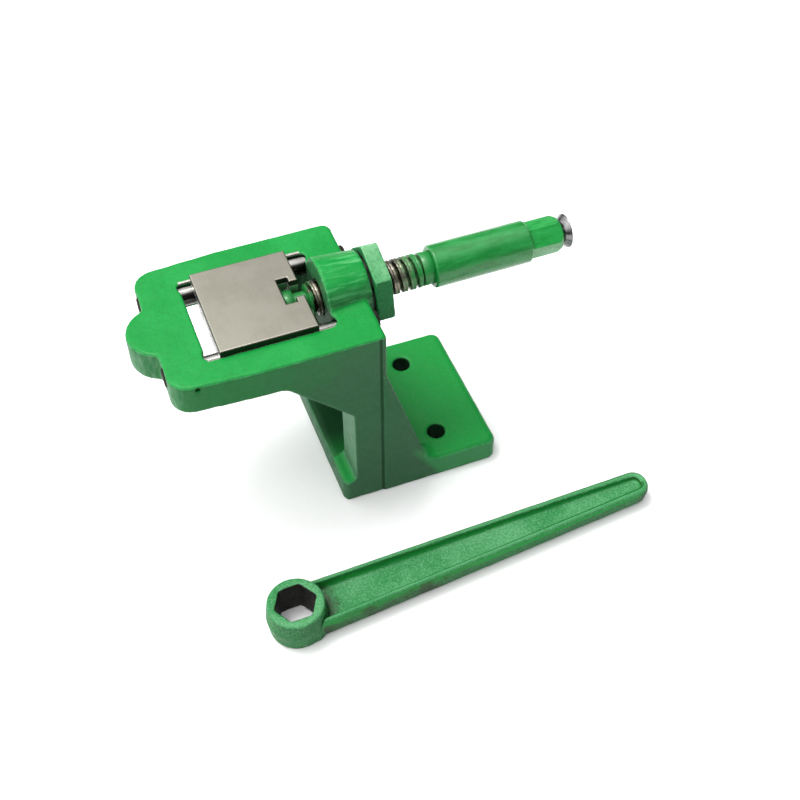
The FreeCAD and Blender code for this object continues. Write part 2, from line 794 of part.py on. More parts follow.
# Spindle: a button that pulls and pushes the jaw, a coarse thread and a core for the grip
def build_spindle():
    button = size("slot_pocket_length") - size("button_play") * 2
    start = thread_left - button_left
    thread_end = start + size("thread_length")
    grip = thread_end + size("spindle_neck_length")
    core = grip + size("grip_length")
    end = core + size("stub_length") - size("slide_gap")
    taper = size("thread_end_taper")
    neck = size("button_neck") / 2
    hole = size("cap_shank") / 2 + size("running_fit")
    floor = end - size("cap_shank_length") + size("hexagon_length") - size("stub_length") - 1
    return turned_piece("spindle", [
        (ZERO, ZERO), (floor, ZERO), (floor, hole), (end, hole), (end, stub_radius),
        (core, stub_radius), (core, core_radius), (grip, core_radius),
        (grip, size("spindle_neck") / 2), (thread_end, size("spindle_neck") / 2),
        (thread_end, thread_radius), (start + taper, thread_radius), (start, thread_radius - taper),
        (start, neck), (button, neck), (button, size("button_diameter") / 2),
        (ZERO, size("button_diameter") / 2),
    ], button_left)


def build_grip_sleeve():
    length = size("grip_length")
    outer = size("grip_diameter") / 2
    inner = size("grip_bore") / 2
    chamfer = size("grip_chamfer")
    return turned_piece("grip_sleeve", [
        (ZERO, inner), (length, inner), (length, outer - chamfer), (length - chamfer, outer),
        (chamfer, outer), (ZERO, outer - chamfer),
    ], grip_left)


def cut_corners(body, name, face, corner, run, towards=1):
    """Turn the corners of a hexagon down to a cone towards one of its faces."""
    beyond = face + run * towards
    sketch = new_sketch(body, name + "_outline", "XZ_Plane")
    draw_polygon(sketch, [
        (face - run * towards, corner), (beyond, corner - run * 1.2), (beyond, corner + run),
        (face - run * towards, corner + run),
    ])
    revolve(body, "Groove", name, sketch)


# Hexagon drive on the end of the spindle, held by a flared countersunk screw
def build_hex_drive():
    body = new_body("hex_drive")
    length = size("hexagon_length")
    sketch = new_sketch(body, "hexagon_outline", "YZ_Plane")
    draw_hexagon(sketch, size("hexagon_flats"))
    pad(body, "hexagon", sketch, length)
    cut_corners(body, "hexagon_corners", length, size("hexagon_flats") / ROOT3, size("hexagon_chamfer"))
    sketch = new_sketch(body, "hexagon_bore_outline", "YZ_Plane")
    draw_circle(sketch, ZERO, ZERO, size("hexagon_bore") / 2)
    pocket(body, "hexagon_bore_cut", sketch, size("stub_length"))
    sketch = new_sketch(body, "cap_way_outline", "YZ_Plane")
    draw_circle(sketch, ZERO, ZERO, size("cap_shank") / 2 + size("running_fit"))
    pocket(body, "cap_way", sketch, length)
    place(body, grip_right, ZERO, axis_height, FreeCAD.Vector(1, 0, 0), size("hexagon_turn"))
    return body


def build_end_screw():
    """A countersunk screw, its shank to the left of its own origin."""
    rim = size("cap_height") - size("cap_rim")
    body = turned_piece("end_screw", [
        (-size("cap_shank_length"), ZERO), (size("cap_height"), ZERO),
        (size("cap_height"), size("cap_diameter") / 2), (rim, size("cap_diameter") / 2),
        (ZERO, size("cap_cone_small") / 2), (ZERO, size("cap_shank") / 2),
        (-size("cap_shank_length"), size("cap_shank") / 2),
    ], hexagon_right)
    sketch = new_sketch(body, "cap_socket_outline", "YZ_Plane", size("cap_height") - size("cap_socket_depth"))
    draw_hexagon(sketch, size("cap_socket"))
    pocket(body, "cap_socket_cut", sketch, size("cap_socket_depth"))
    return body


# Lock washer and hexagon lock nut on the screw, against the boss
def build_lock_washer():
    length = size("washer_thickness")
    inner = thread_radius + size("slide_gap")
    outer = size("washer_diameter") / 2
    return turned_piece("lock_washer", [(ZERO, inner), (length, inner), (length, outer), (ZERO, outer)],
                        washer_left)


def build_lock_nut():
    body = new_body("lock_nut")
    thickness = size("nut_thickness")
    corner = size("nut_flats") / ROOT3
    sketch = new_sketch(body, "nut_outline", "YZ_Plane")
    draw_hexagon(sketch, size("nut_flats"))
    pad(body, "nut", sketch, thickness)
    cut_corners(body, "nut_corners_right", thickness, corner, size("nut_chamfer"))
    cut_corners(body, "nut_corners_left", ZERO, corner, size("nut_chamfer"), -1)
    sketch = new_sketch(body, "nut_bore_outline", "YZ_Plane")
    draw_circle(sketch, ZERO, ZERO, thread_bore_radius)
    pocket(body, "nut_bore", sketch, thickness)
    place(body, nut_left, ZERO, axis_height, FreeCAD.Vector(1, 0, 0), size("nut_turn"))
    return body


# Wrench: a barrel head with a hexagon socket and a tapered bar with a channel in each face
def build_wrench():
    body = new_body("wrench")
    radius = size("wrench_head_diameter") / 2
    waist = size("wrench_waist_diameter") / 2
    height = size("wrench_height")
    root = size("wrench_bar_root") / 2
    tip = size("wrench_bar_tip") / 2
    end = size("wrench_length") - waist
    sketch = new_sketch(body, "wrench_bar_outline", "XY_Plane")
    nose = tip * 0.98
    draw_rounded(sketch, [(ZERO, -root), (end, -tip, nose), (end, tip, nose), (ZERO, root)])
    pad(body, "wrench_bar", sketch, size("wrench_bar_height"))
    heights = (0.0, size("wrench_bar_height").value)
    dress(body, "Fillet", "wrench_bar_rounds", size("wrench_bar_round"),
          lambda edge: any(at_level(edge, z) for z in heights) and edge.BoundBox.XMax > 0.1)
    rim = size("wrench_rim")
    channel = size("wrench_channel_start")
    upper_floor = size("wrench_bar_height") - size("wrench_channel_depth")
    for name, foot, depth, floor in (
        ("channel_top", upper_floor, size("wrench_channel_depth"), upper_floor),
        ("channel_low", ZERO, size("wrench_under_depth"), size("wrench_under_depth")),
    ):
        sketch = new_sketch(body, name + "_outline", "XY_Plane", foot)
        draw_channel(sketch, channel, end - rim, root - rim, tip - rim)
        pocket(body, name, sketch, depth)
        dress(body, "Fillet", name + "_round", size("wrench_channel_round"),
              lambda edge: at_level(edge, floor.value))
    sketch = new_sketch(body, "wrench_head_profile", "XZ_Plane")
    draw_polygon(sketch, [
        (ZERO, ZERO), (ZERO, height), (radius, height), (waist, height / 2), (radius, ZERO),
    ])
    revolve(body, "Revolution", "wrench_head", sketch, "V_Axis")
    sketch = new_sketch(body, "wrench_socket_outline", "XY_Plane")
    draw_hexagon(sketch, size("wrench_flats"))
    pocket(body, "wrench_socket", sketch, height)
    place(body, size("wrench_x"), size("wrench_y"), ZERO, FreeCAD.Vector(0, 0, 1), size("wrench_turn"))
    return body


def draw_channel(sketch, left, right, root, tip):
    """The tapered channel in one face of the bar, round at its far end."""
    corner = root / 4
    draw_rounded(sketch, [
        (left, -root, corner), (right, -tip, tip * 0.9), (right, tip, tip * 0.9), (left, root, corner),
    ])


pieces = [
    build_casting(),
    build_rod("guide_rod_back", rod_side),
    build_rod("guide_rod_front", -rod_side),
    build_rod_set_screws(),
    build_jaw_plate(),
    build_jaw_carriage(),
    build_jaw_screws(),
    build_spindle(),
    build_grip_sleeve(),
    build_hex_drive(),
    build_end_screw(),
    build_lock_washer(),
    build_lock_nut(),
    build_wrench(),
]
doc.recompute()

for item in doc.Objects:
    if "Invalid" in item.State or "Error" in item.State:
        raise RuntimeError(f"{item.Name} did not build: {item.State}")
os.makedirs("parts", exist_ok=True)
for piece in pieces:
    if piece.Shape.isNull() or not piece.Shape.isValid():
        raise RuntimeError(f"{piece.Label} has no valid shape")
    piece.Shape.exportStep(f"parts/{piece.Label}.step")
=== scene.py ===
import logging
import math
from dataclasses import dataclass
from enum import Enum

import bmesh
import bpy
import numpy as np
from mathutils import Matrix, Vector


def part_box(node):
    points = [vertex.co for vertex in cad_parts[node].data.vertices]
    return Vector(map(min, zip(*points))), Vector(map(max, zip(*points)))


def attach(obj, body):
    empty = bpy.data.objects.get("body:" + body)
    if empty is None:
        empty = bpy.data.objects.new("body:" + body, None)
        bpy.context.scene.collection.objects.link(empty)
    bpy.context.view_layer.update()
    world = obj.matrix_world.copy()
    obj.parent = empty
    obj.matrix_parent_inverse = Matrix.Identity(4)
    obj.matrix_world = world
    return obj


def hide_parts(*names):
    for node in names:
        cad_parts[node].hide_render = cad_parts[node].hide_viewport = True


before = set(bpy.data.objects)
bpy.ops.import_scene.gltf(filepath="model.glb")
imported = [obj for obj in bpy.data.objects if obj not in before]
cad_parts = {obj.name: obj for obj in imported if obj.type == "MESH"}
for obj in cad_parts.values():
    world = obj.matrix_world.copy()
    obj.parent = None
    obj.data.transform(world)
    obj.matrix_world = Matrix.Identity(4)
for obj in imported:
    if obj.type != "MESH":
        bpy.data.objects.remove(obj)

Colour = tuple[float, float, float]
Triple = tuple[float, float, float]
Limits = tuple[float, float]
Piece = bpy.types.Object
Material = bpy.types.Material
Socket = bpy.types.NodeSocket
Value = Socket | float

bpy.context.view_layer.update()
SCREW_HEIGHT = 0.1278
WRENCH_SOCKET = (-0.1205, -0.1195)
WRENCH_TURN = math.radians(2.6)
MERGE_DISTANCE = 0.000002
FLAT_ANGLE = math.radians(0.2)
EDGE_ANGLE = math.radians(30.0)
WAVE_SIZE = 0.011
log = logging.getLogger("vise")


class Body(Enum):
    """The moving bodies of the vise."""

    FRAME = "frame"
    JAW = "jaw"
    SPINDLE = "spindle"
    WASHER = "lock_washer"
    NUT = "lock_nut"
    WRENCH = "wrench"


class Shading(Enum):
    """How the faces of a piece are shaded."""

    SMOOTH = "smooth"
    BY_ANGLE = "by angle"
    FLAT = "flat"


@dataclass(frozen=True)
class Noise:
    """A fractal noise.

    Attributes:
        size: width of the largest blotch in metres.
        detail: number of octaves.
        rough: weight of the small octaves.
        scale: how the coordinates are scaled along each axis, if they are.
    """

    size: float
    detail: float = 4.0
    rough: float = 0.5
    scale: Triple | None = None


@dataclass(frozen=True)
class Step:
    """A smooth step from one value to another.

    Attributes:
        low: where it starts.
        high: where it ends.
        to_low: its value before the start.
        to_high: its value after the end.
    """

    low: float
    high: float
    to_low: float = 0.0
    to_high: float = 1.0


@dataclass(frozen=True)
class Mottle:
    """A noise put through a smooth step."""

    noise: Noise
    step: Step


@dataclass(frozen=True)
class Band:
    """A mask between two limits that fades over a soft margin beyond each."""

    low: float
    high: float
    soft: float


@dataclass(frozen=True)
class Box:
    """A mask of a box, doubled on both sides of the middle plane, with a soft margin.

    Attributes:
        low: the box's lowest corner, with y counted away from the middle plane.
        high: its highest corner.
        soft: the margin over which the mask fades.
    """

    low: Triple
    high: Triple
    soft: float


@dataclass(frozen=True)
class Layer:
    """A colour that is laid on where all of its masks are 1.

    Attributes:
        name: what it shows, written on its node.
        colour: the colour.
        masks: a step or band under the name of what it measures, or a box under any name.
    """

    name: str
    colour: Colour
    masks: dict[str, Step | Band | Box]


def smooth_step(tree: bpy.types.NodeTree, value: Socket, step: Step) -> Socket:
    """Add a node that puts a value through a smooth step."""
    node = tree.nodes.new("ShaderNodeMapRange")
    node.interpolation_type = "SMOOTHSTEP"
    for name, number in (("From Min", step.low), ("From Max", step.high),
                         ("To Min", step.to_low), ("To Max", step.to_high)):
        node.inputs[name].default_value = number
    tree.links.new(value, node.inputs["Value"])
    return node.outputs["Result"]


class MaterialTree:
    """A node material put together round one Principled shader.

    It measures x, y, z and aside, which is y without its sign, in the object's own space in metres,
    and face_x, face_y and face_z, how far a face looks along an axis. A paint can add to these.
    """

    def __init__(self, name: str) -> None:
        """Start a material with its measures."""
        self.material = bpy.data.materials.new(name)
        self.material.use_nodes = True
        self.tree = self.material.node_tree
        self.tree.nodes.clear()
        self.shader = self.tree.nodes.new("ShaderNodeBsdfPrincipled")
        output = self.tree.nodes.new("ShaderNodeOutputMaterial")
        self.tree.links.new(self.shader.outputs["BSDF"], output.inputs["Surface"])
        coordinates = self.tree.nodes.new("ShaderNodeTexCoord")
        self.place = coordinates.outputs["Object"]
        self.measures: dict[str, Socket] = {}
        for prefix, vector in (("", self.place), ("face_", coordinates.outputs["Normal"])):
            parts = self.tree.nodes.new("ShaderNodeSeparateXYZ")
            self.put(parts.inputs["Vector"], vector)
            self.measures.update({prefix + name.lower(): parts.outputs[name] for name in "XYZ"})
        self.measures["aside"] = self.combine("ABSOLUTE", self["y"])

    def __getitem__(self, name: str) -> Socket:
        """A measure by its name."""
        return self.measures[name]

    def put(self, socket: Socket, value: object) -> None:
        """Link a socket into an input, or write a plain value to it."""
        if isinstance(value, Socket):
            self.tree.links.new(value, socket)
        else:
            socket.default_value = value

    def set(self, **values: object) -> None:
        """Feed the shader's inputs, with underscores for the blanks in their names."""
        for name, value in values.items():
            self.put(self.shader.inputs[name.replace("_", " ")], value)

    def noise(self, noise: Noise) -> Socket:
        """A noise over the object's own coordinates, scaled apart where it asks for that."""
        place = self.place
        if noise.scale is not None:
            mapping = self.tree.nodes.new("ShaderNodeMapping")
            self.put(mapping.inputs["Vector"], place)
            mapping.inputs["Scale"].default_value = noise.scale
            place = mapping.outputs["Vector"]
        node = self.tree.nodes.new("ShaderNodeTexNoise")
        self.put(node.inputs["Vector"], place)
        node.inputs["Scale"].default_value = 1.0 / noise.size
        node.inputs["Detail"].default_value = noise.detail
        node.inputs["Roughness"].default_value = noise.rough
        return node.outputs["Fac"]

    def spread(self, value: Socket, step: Step | Band) -> Socket:
        """Put a value through a smooth step, or through the two steps of a band."""
        if isinstance(step, Band):
            rising = Step(step.low - step.soft, step.low)
            falling = Step(step.high, step.high + step.soft, 1.0, 0.0)
            return self.times(self.spread(value, rising), self.spread(value, falling))
        return smooth_step(self.tree, value, step)

    def mottle(self, mottle: Mottle) -> Socket:
        """A noise put through its step."""
        return self.spread(self.noise(mottle.noise), mottle.step)

    def ease(self, mask: Socket, start: float, end: float) -> Socket:
        """A value that goes from a start to an end as a mask goes from 0 to 1."""
        return self.spread(mask, Step(0.0, 1.0, start, end))

    def uneven(self, noise: Socket, limits: Limits) -> Socket:
        """A value that wanders between two limits with a noise."""
        return self.spread(noise, Step(0.3, 0.7, *limits))

    def mix(self, share: Value, first: object, second: object) -> Socket:
        """Blend two colours, each a socket or plain, by the share that the second has."""
        node = self.tree.nodes.new("ShaderNodeMix")
        node.data_type = "RGBA"
        self.put(node.inputs["Factor"], share)
        for slot, colour in ((6, first), (7, second)):
            self.put(node.inputs[slot], colour if isinstance(colour, Socket) else (*colour, 1.0))
        return node.outputs[2]

    def combine(self, operation: str, first: Value, second: Value = 0.0) -> Socket:
        """Combine two values with one Math operation."""
        node = self.tree.nodes.new("ShaderNodeMath")
        node.operation = operation
        self.put(node.inputs[0], first)
        self.put(node.inputs[1], second)
        return node.outputs["Value"]

    def plus(self, first: Value, second: Value) -> Socket:
        """The sum of two values."""
        return self.combine("ADD", first, second)

    def minus(self, first: Value, second: Value) -> Socket:
        """The first value less the second."""
        return self.combine("SUBTRACT", first, second)

    def times(self, *values: Value) -> Socket:
        """The product of two or more values."""
        product = values[0]
        for value in values[1:]:
            product = self.combine("MULTIPLY", product, value)
        return product

    def larger(self, first: Value, second: Value) -> Socket:
        """The larger of two values."""
        return self.combine("MAXIMUM", first, second)

    def distance(self, first: Socket, second: Socket) -> Socket:
        """How far away a place is that lies off by two values at right angles."""
        square = self.plus(self.times(first, first), self.times(second, second))
        return self.combine("POWER", square, 0.5)

    def inside(self, box: Box) -> Socket:
        """The mask of a box."""
        limits = zip(("x", "aside", "z"), box.low, box.high)
        return self.times(*(self.spread(self[name], Band(low, high, box.soft)) for name, low, high in limits))

    def lay(self, paint: Socket | Colour, layers: tuple[Layer, ...]) -> Socket:
        """Lay some layers over a paint, in their order."""
        for layer in layers:
            masks = [self.inside(mask) if isinstance(mask, Box) else self.spread(self[name], mask)
                     for name, mask in layer.masks.items()]
            paint = self.mix(self.times(*masks), paint, layer.colour)
            paint.node.label = layer.name
        return paint

    def bump(self, height: Socket, depth: float, under: Socket | None = None) -> Socket:
        """A normal bumped by a height of 0 to 1.

        Args:
            height: the height's socket.
            depth: what a height of 1 stands for, in metres.
            under: the normal that it is laid over, if any.

        Returns:
            The normal's socket.
        """
        node = self.tree.nodes.new("ShaderNodeBump")
        node.inputs["Strength"].default_value = 1.0
        node.inputs["Distance"].default_value = depth
        self.put(node.inputs["Height"], height)
        if under is not None:
            self.put(node.inputs["Normal"], under)
        return node.outputs["Normal"]


@dataclass(frozen=True)
class CastPaint:
    """Green paint over a sand casting: smooth on the dressed top faces, rough and dull on the sides."""

    name: str
    colour: Colour = (0.004, 0.215, 0.034)
    thin: Colour = (0.009, 0.245, 0.044)
    # darker side colour: partly the rough skin and its dust, partly painted shade on faces that look sideways
    side: Colour = (0.014, 0.15, 0.036)
    dust: Colour = (0.028, 0.112, 0.047)
    # dark colour of the real specks, also laid as painted shade in the bracket's seam, channel, window and
    # bolt holes
    dirt_and_shade: Colour = (0.006, 0.04, 0.013)
    # pale colour on rounded edges: worn paint there, and painted highlight where edges turn from top to side
    edge: Colour = (0.085, 0.32, 0.135)
    roughness: Limits = (0.29, 0.44)
    side_dullness: float = 0.16
    grain: float = 0.00012
    top_grain: float = 0.45
    wave: float = 0.0003
    speckle: float = 0.15
    top: Step = Step(0.3, 0.9)
    edge_wear_and_highlight: Band = Band(0.38, 0.62, 0.16)
    chips: Mottle = Mottle(Noise(0.005, 4.0, 0.6), Step(0.35, 0.62, 0.1, 0.45))
    specks: Mottle = Mottle(Noise(0.00143, 3.0, 0.6), Step(0.5, 0.62))
    patches: Mottle = Mottle(Noise(0.03), Step(0.36, 0.66))
    blotches: Mottle = Mottle(Noise(0.014, 4.0, 0.6), Step(0.35, 0.65, 0.1, 0.8))
    gloss_noise: Noise = Noise(0.006, 4.0, 0.6)
    wave_noise: Noise = Noise(0.009, 3.0)
    skin_noise: Noise = Noise(0.0011, 4.0, 0.65)

    def build(self) -> Material:
        """Build the material."""
        tree = MaterialTree(self.name)
        # the top step picks the top or the side colour by facing, so the sides carry painted shade
        top = tree.spread(tree["face_z"], self.top)
        paint = tree.mix(top, self.flank(tree), self.crown(tree))
        # painted highlight with wear: the pale edge colour laid where faces turn between top and side, broken
        # by chips
        rounded = tree.spread(tree["face_z"], self.edge_wear_and_highlight)
        paint = tree.mix(tree.times(rounded, tree.mottle(self.chips)), paint, self.edge)
        paint = tree.mix(tree.times(tree.mottle(self.specks), self.speckle), paint, self.dirt_and_shade)
        gloss = tree.uneven(tree.noise(self.gloss_noise), self.roughness)
        rough = tree.plus(gloss, tree.ease(top, self.side_dullness, 0.0))
        wave = tree.bump(tree.noise(self.wave_noise), self.wave)
        skin = tree.times(tree.noise(self.skin_noise), tree.ease(top, 1.0, self.top_grain))
        normal = tree.bump(skin, self.grain, wave)
        tree.set(Base_Color=paint, Roughness=rough, Normal=normal)
        tree.set(Specular_IOR_Level=0.12, Coat_Weight=0.06, Coat_Roughness=0.18)
        self.extras(tree, paint, rough, normal)
        return tree.material

    def crown(self, tree: MaterialTree) -> Socket:
        """Colour of the faces that look up, thinner in wide patches."""
        return tree.mix(tree.mottle(self.patches), self.colour, self.thin)

    def flank(self, tree: MaterialTree) -> Socket:
        """Colour of the rough sides, where grey dust sits in the paint's pits, and painted shade on faces
        that look sideways.
        """
        return tree.mix(tree.mottle(self.blotches), self.side, self.dust)

    def extras(self, tree: MaterialTree, paint: Socket, rough: Socket, normal: Socket) -> None:
        """Whatever one casting has beyond the plain paint; nothing here."""


BOSS = Box((-0.0605, -1.0, 0.1365), (0.0, 0.03, 1.0), 0.001)
PALE_HIGHLIGHT = (0.12, 0.27, 0.155)
# painted light: the foot's top gets its own tone of the top paint for how light falls below the head
TOP_PAINTED_LIGHT_LAYERS = (Layer("foot", (0.009, 0.24, 0.04), {"z": Step(0.03, 0.1, 1.0, 0.0)}),)
SIDE_DUST_AND_LIGHT_LAYERS = (
    Layer("grey", CastPaint.dust, {"grey_line": Step(-0.235, -0.125)}),
    # pale vertical streaks on the nose: paint runs, and also a painted highlight on its sides
    Layer("runs on the nose", PALE_HIGHLIGHT, {"x": Step(-0.158, -0.146, 0.6, 0.0), "runs": Step(0.42, 0.66)}),
    # the foot's side past the ribs' toe: free of the grey dust, and painted lighter as painted light on its
    # rounded side
    Layer("toe", (0.034, 0.245, 0.074),
          {"toe_line": Step(-0.0075, -0.002), "z": Step(0.024, 0.034, 0.8, 0.0)}),
    # painted light: faces of the legs that look towards -x are painted pale where the light catches them
    Layer("legs", PALE_HIGHLIGHT, {"face_x": Step(-0.85, -0.6, 0.65, 0.0), "z": Band(0.034, 0.11, 0.02)}),
)
BOSS_PAINTED_LIGHT_LAYERS = (
    # painted shade: the boss's front-facing side is painted dark
    Layer("boss", (0.003, 0.085, 0.014), {"boss": BOSS, "face_y": Step(-0.92, -0.5, 0.75, 0.0)}),
    # light streaks on the boss: brush marks, and painted highlight on its upper faces
    Layer("brush streaks", (0.085, 0.385, 0.14),
          {"boss": BOSS, "face_y": Step(-0.95, -0.6, 0.25, 0.85), "streaks": Step(0.48, 0.72)}),
)


@dataclass(frozen=True)
class BracketPaint(CastPaint):
    """The bracket's paint, with grey sides low down, a brushed boss and rubbed strips beside the window.

    Two sloping lines, x plus a slope times z, part the sides: they are grey beyond grey_line, which
    wanders, and the ribs' toe lies beyond toe_line. It also carries painted light: painted shade in the
    seam, the channel, the window and the bolt holes and on the boss's front, and painted highlights on
    the boss, the legs, the nose, the toe and the foot's top.
    """

    grey_slope: float = -1.2
    grey_noise: Noise = Noise(0.02, 4.0, 0.6)
    grey_wander: float = 0.1
    toe_slope: float = 0.63
    run_noise: Noise = Noise(0.0026, 4.0, 0.6, (1.0, 1.0, 0.2))
    brush_noise: Noise = Noise(0.0032, 4.0, 0.6, (0.1, 1.0, 1.0))
    brush_depth: float = 0.0006
    # boxes and shares of painted shade, laid dark in the seam, the channel, the window and the bolt holes
    seam: Box = Box((-0.0429, 0.048, -1.0), (-0.0415, 1.0, 0.134), 0.0003)
    seam_share: float = 0.9
    channel: Box = Box((-0.0655, -1.0, 0.013), (-0.04, 0.0255, 0.11), 0.0015)
    channel_share: Step = Step(-0.026, -0.006, 0.5, 0.94)
    window: Box = Box((-0.083, -1.0, 0.06), (-0.059, 0.0225, 0.1335), 0.0006)
    relief: Box = Box((-0.083, 0.0215, 0.1), (-0.059, 0.0345, 0.1335), 0.0006)
    window_share: float = 0.95
    bolt_y: float = 0.03
    bolt_edge: Step = Step(0.0056, 0.0059, 1.0, 0.0)
    hollow_dullness: float = 0.85
    bare: Colour = (0.4, 0.38, 0.35)
    strip_side: Step = Step(0.0322, 0.0326, 1.0, 0.0)
    strip_noise: Noise = Noise(0.002, 2.0)
    strip_wander: float = 0.0012
    strip_top: Step = Step(0.1338, 0.1342)
    strip: Band = Band(-0.1322, -0.0622, 0.0005)
    strip_polish: float = 0.1

    def crown(self, tree: MaterialTree) -> Socket:
        """The foot's top, which looks darker than the head's, takes its own tone of the paint: painted light
        for how light falls below the head.
        """
        return tree.lay(super().crown(tree), TOP_PAINTED_LIGHT_LAYERS)

    def flank(self, tree: MaterialTree) -> Socket:
        """Green near the head's nose and top edge, greyer towards the column and the foot, with painted light
        on the legs, the nose and the toe.
        """
        x, z = tree["x"], tree["z"]
        wander = tree.times(tree.noise(self.grey_noise), self.grey_wander)
        tree.measures.update(
            grey_line=tree.plus(tree.plus(x, tree.times(z, self.grey_slope)), wander),
            toe_line=tree.plus(x, tree.times(z, self.toe_slope)),
            runs=tree.noise(self.run_noise),
        )
        return tree.lay(self.side, SIDE_DUST_AND_LIGHT_LAYERS)

    def extras(self, tree: MaterialTree, paint: Socket, rough: Socket, normal: Socket) -> None:
        """Lay on the boss's brush streaks, the painted shade in the seam, channel, window and bolt holes, and
        the rubbed strips.
        """
        tree.measures["streaks"] = tree.noise(self.brush_noise)
        paint = tree.lay(paint, BOSS_PAINTED_LIGHT_LAYERS)
        for shaded_hollow in self.shaded_hollows(tree):
            paint = tree.mix(shaded_hollow, paint, self.dirt_and_shade)
            rough = tree.larger(rough, tree.times(shaded_hollow, self.hollow_dullness))
        wander = tree.times(tree.noise(self.strip_noise), self.strip_wander)
        side = tree.spread(tree.plus(tree["aside"], wander), self.strip_side)
        bare = tree.times(side, tree.spread(tree["z"], self.strip_top), tree.spread(tree["x"], self.strip))
        tree.set(Base_Color=tree.mix(bare, paint, self.bare), Metallic=bare)
        tree.set(Roughness=tree.minus(rough, tree.times(bare, self.strip_polish)))
        tree.set(Normal=tree.bump(tree.times(tree["streaks"], tree.inside(BOSS)), self.brush_depth, normal))

    def shaded_hollows(self, tree: MaterialTree) -> list[Socket]:
        """Masks of painted shade: the seam down both sides, the column's channel, the window's end and the
        bolt holes.
        """
        seam = tree.times(tree.inside(self.seam), self.seam_share)
        channel = tree.times(tree.inside(self.channel), tree.spread(tree["y"], self.channel_share))
        window = tree.larger(tree.inside(self.window), tree.inside(self.relief))
        from_bolt = tree.distance(tree["x"], tree.minus(tree["aside"], self.bolt_y))
        return [seam, channel, tree.times(window, self.window_share), tree.spread(from_bolt, self.bolt_edge)]


BAR = Step(0.0176, 0.0186)
GRIME = (0.03, 0.034, 0.02)
WRENCH_WEAR_AND_LIGHT_LAYERS = (
    Layer("pale specks", (0.17, 0.42, 0.23), {"pocks": Step(0.51, 0.62, 0.0, 0.26)}),
    Layer("pits", (0.01, 0.12, 0.026), {"pocks": Step(0.36, 0.48, 0.32, 0.0)}),
    # painted light: the channel's walls are painted lighter and greener against the shade that falls on them
    Layer("lightened walls", (0.012, 0.3, 0.044),
          {"away": BAR, "z": Step(0.0099, 0.0106, 0.0, 0.75), "rim": Step(-0.002, -0.0012, 1.0, 0.0)}),
    # light crests along the rims: worn paint, and painted highlight on their rounded tops
    Layer("light crest", (0.085, 0.34, 0.13), {"away": BAR, "rim": Step(-0.001, -0.0003, 0.0, 0.45)}),
    # paler low on the bar's sides
    Layer("lighter foot", (0.12, 0.25, 0.155), {"away": BAR, "z": Step(0.0012, 0.0038, 0.6, 0.0)}),
    Layer("shaded wall", (0.01, 0.11, 0.022),
          {"away": BAR, "z": Step(0.0115, 0.0125), "face_y": Step(0.02, 0.16, 0.0, 0.9)}),
    Layer("worn side", GRIME,
          {"away": Band(0.04, 0.085, 0.025), "across": Step(-0.004, -0.002, 1.0, 0.0),
           "face_z": Step(0.35, 0.1), "worn": Step(0.4, 0.6, 0.2, 0.7)}),
    Layer("worn tip", GRIME, {"away": Step(0.215, 0.223, 0.0, 0.75), "face_z": Step(0.55, 0.2)}),
    Layer("start of the bar", GRIME,
          {"away": BAR, "ragged": Step(0.024, 0.033, 1.0, 0.0), "z": Step(0.011, 0.013, 0.8, 0.0)}),
    # near black on the socket's walls
    Layer("socket", (0.01, 0.01, 0.008),
          {"away": Step(0.0122, 0.0128, 1.0, 0.0), "face_z": Step(0.75, 0.95, 1.0, 0.0)}),
)


@dataclass(frozen=True)
class WrenchPaint(CastPaint):
    """The wrench's paint, coarse and speckled, with a near-black socket, grime where the bar starts and
    painted light on the bar.

    Its layers also measure away, the distance from the socket's axis, ragged, the same with a
    wander, across, the distance from the bar's middle line, and rim, the height above a rim that
    gets lower towards the tip.
    """

    rim_height: float = 0.0166
    rim_drop: float = 0.003 / 0.22
    pock_noise: Noise = Noise(0.0011, 2.0)
    worn_noise: Noise = Noise(0.01)
    ragged_noise: Noise = Noise(0.004, 4.0, 0.6)
    wander: float = 0.012

    def extras(self, tree: MaterialTree, paint: Socket, rough: Socket, normal: Socket) -> None:
        """Lay on the specks, the crests worn and painted light, the walls painted light, the shaded wall, the
        paler foot, the grime and the near-black socket.
        """
        x = tree.minus(tree["x"], WRENCH_SOCKET[0])
        y = tree.minus(tree["y"], WRENCH_SOCKET[1])
        away = tree.distance(x, y)
        tree.measures.update(
            pocks=tree.noise(self.pock_noise),
            worn=tree.noise(self.worn_noise),
            away=away,
            ragged=tree.plus(away, tree.times(tree.noise(self.ragged_noise), self.wander)),
            across=tree.plus(tree.times(x, -math.sin(WRENCH_TURN)), tree.times(y, math.cos(WRENCH_TURN))),
            rim=tree.minus(tree.plus(tree["z"], tree.times(away, self.rim_drop)), self.rim_height),
        )
        tree.set(Base_Color=tree.lay(paint, WRENCH_WEAR_AND_LIGHT_LAYERS))


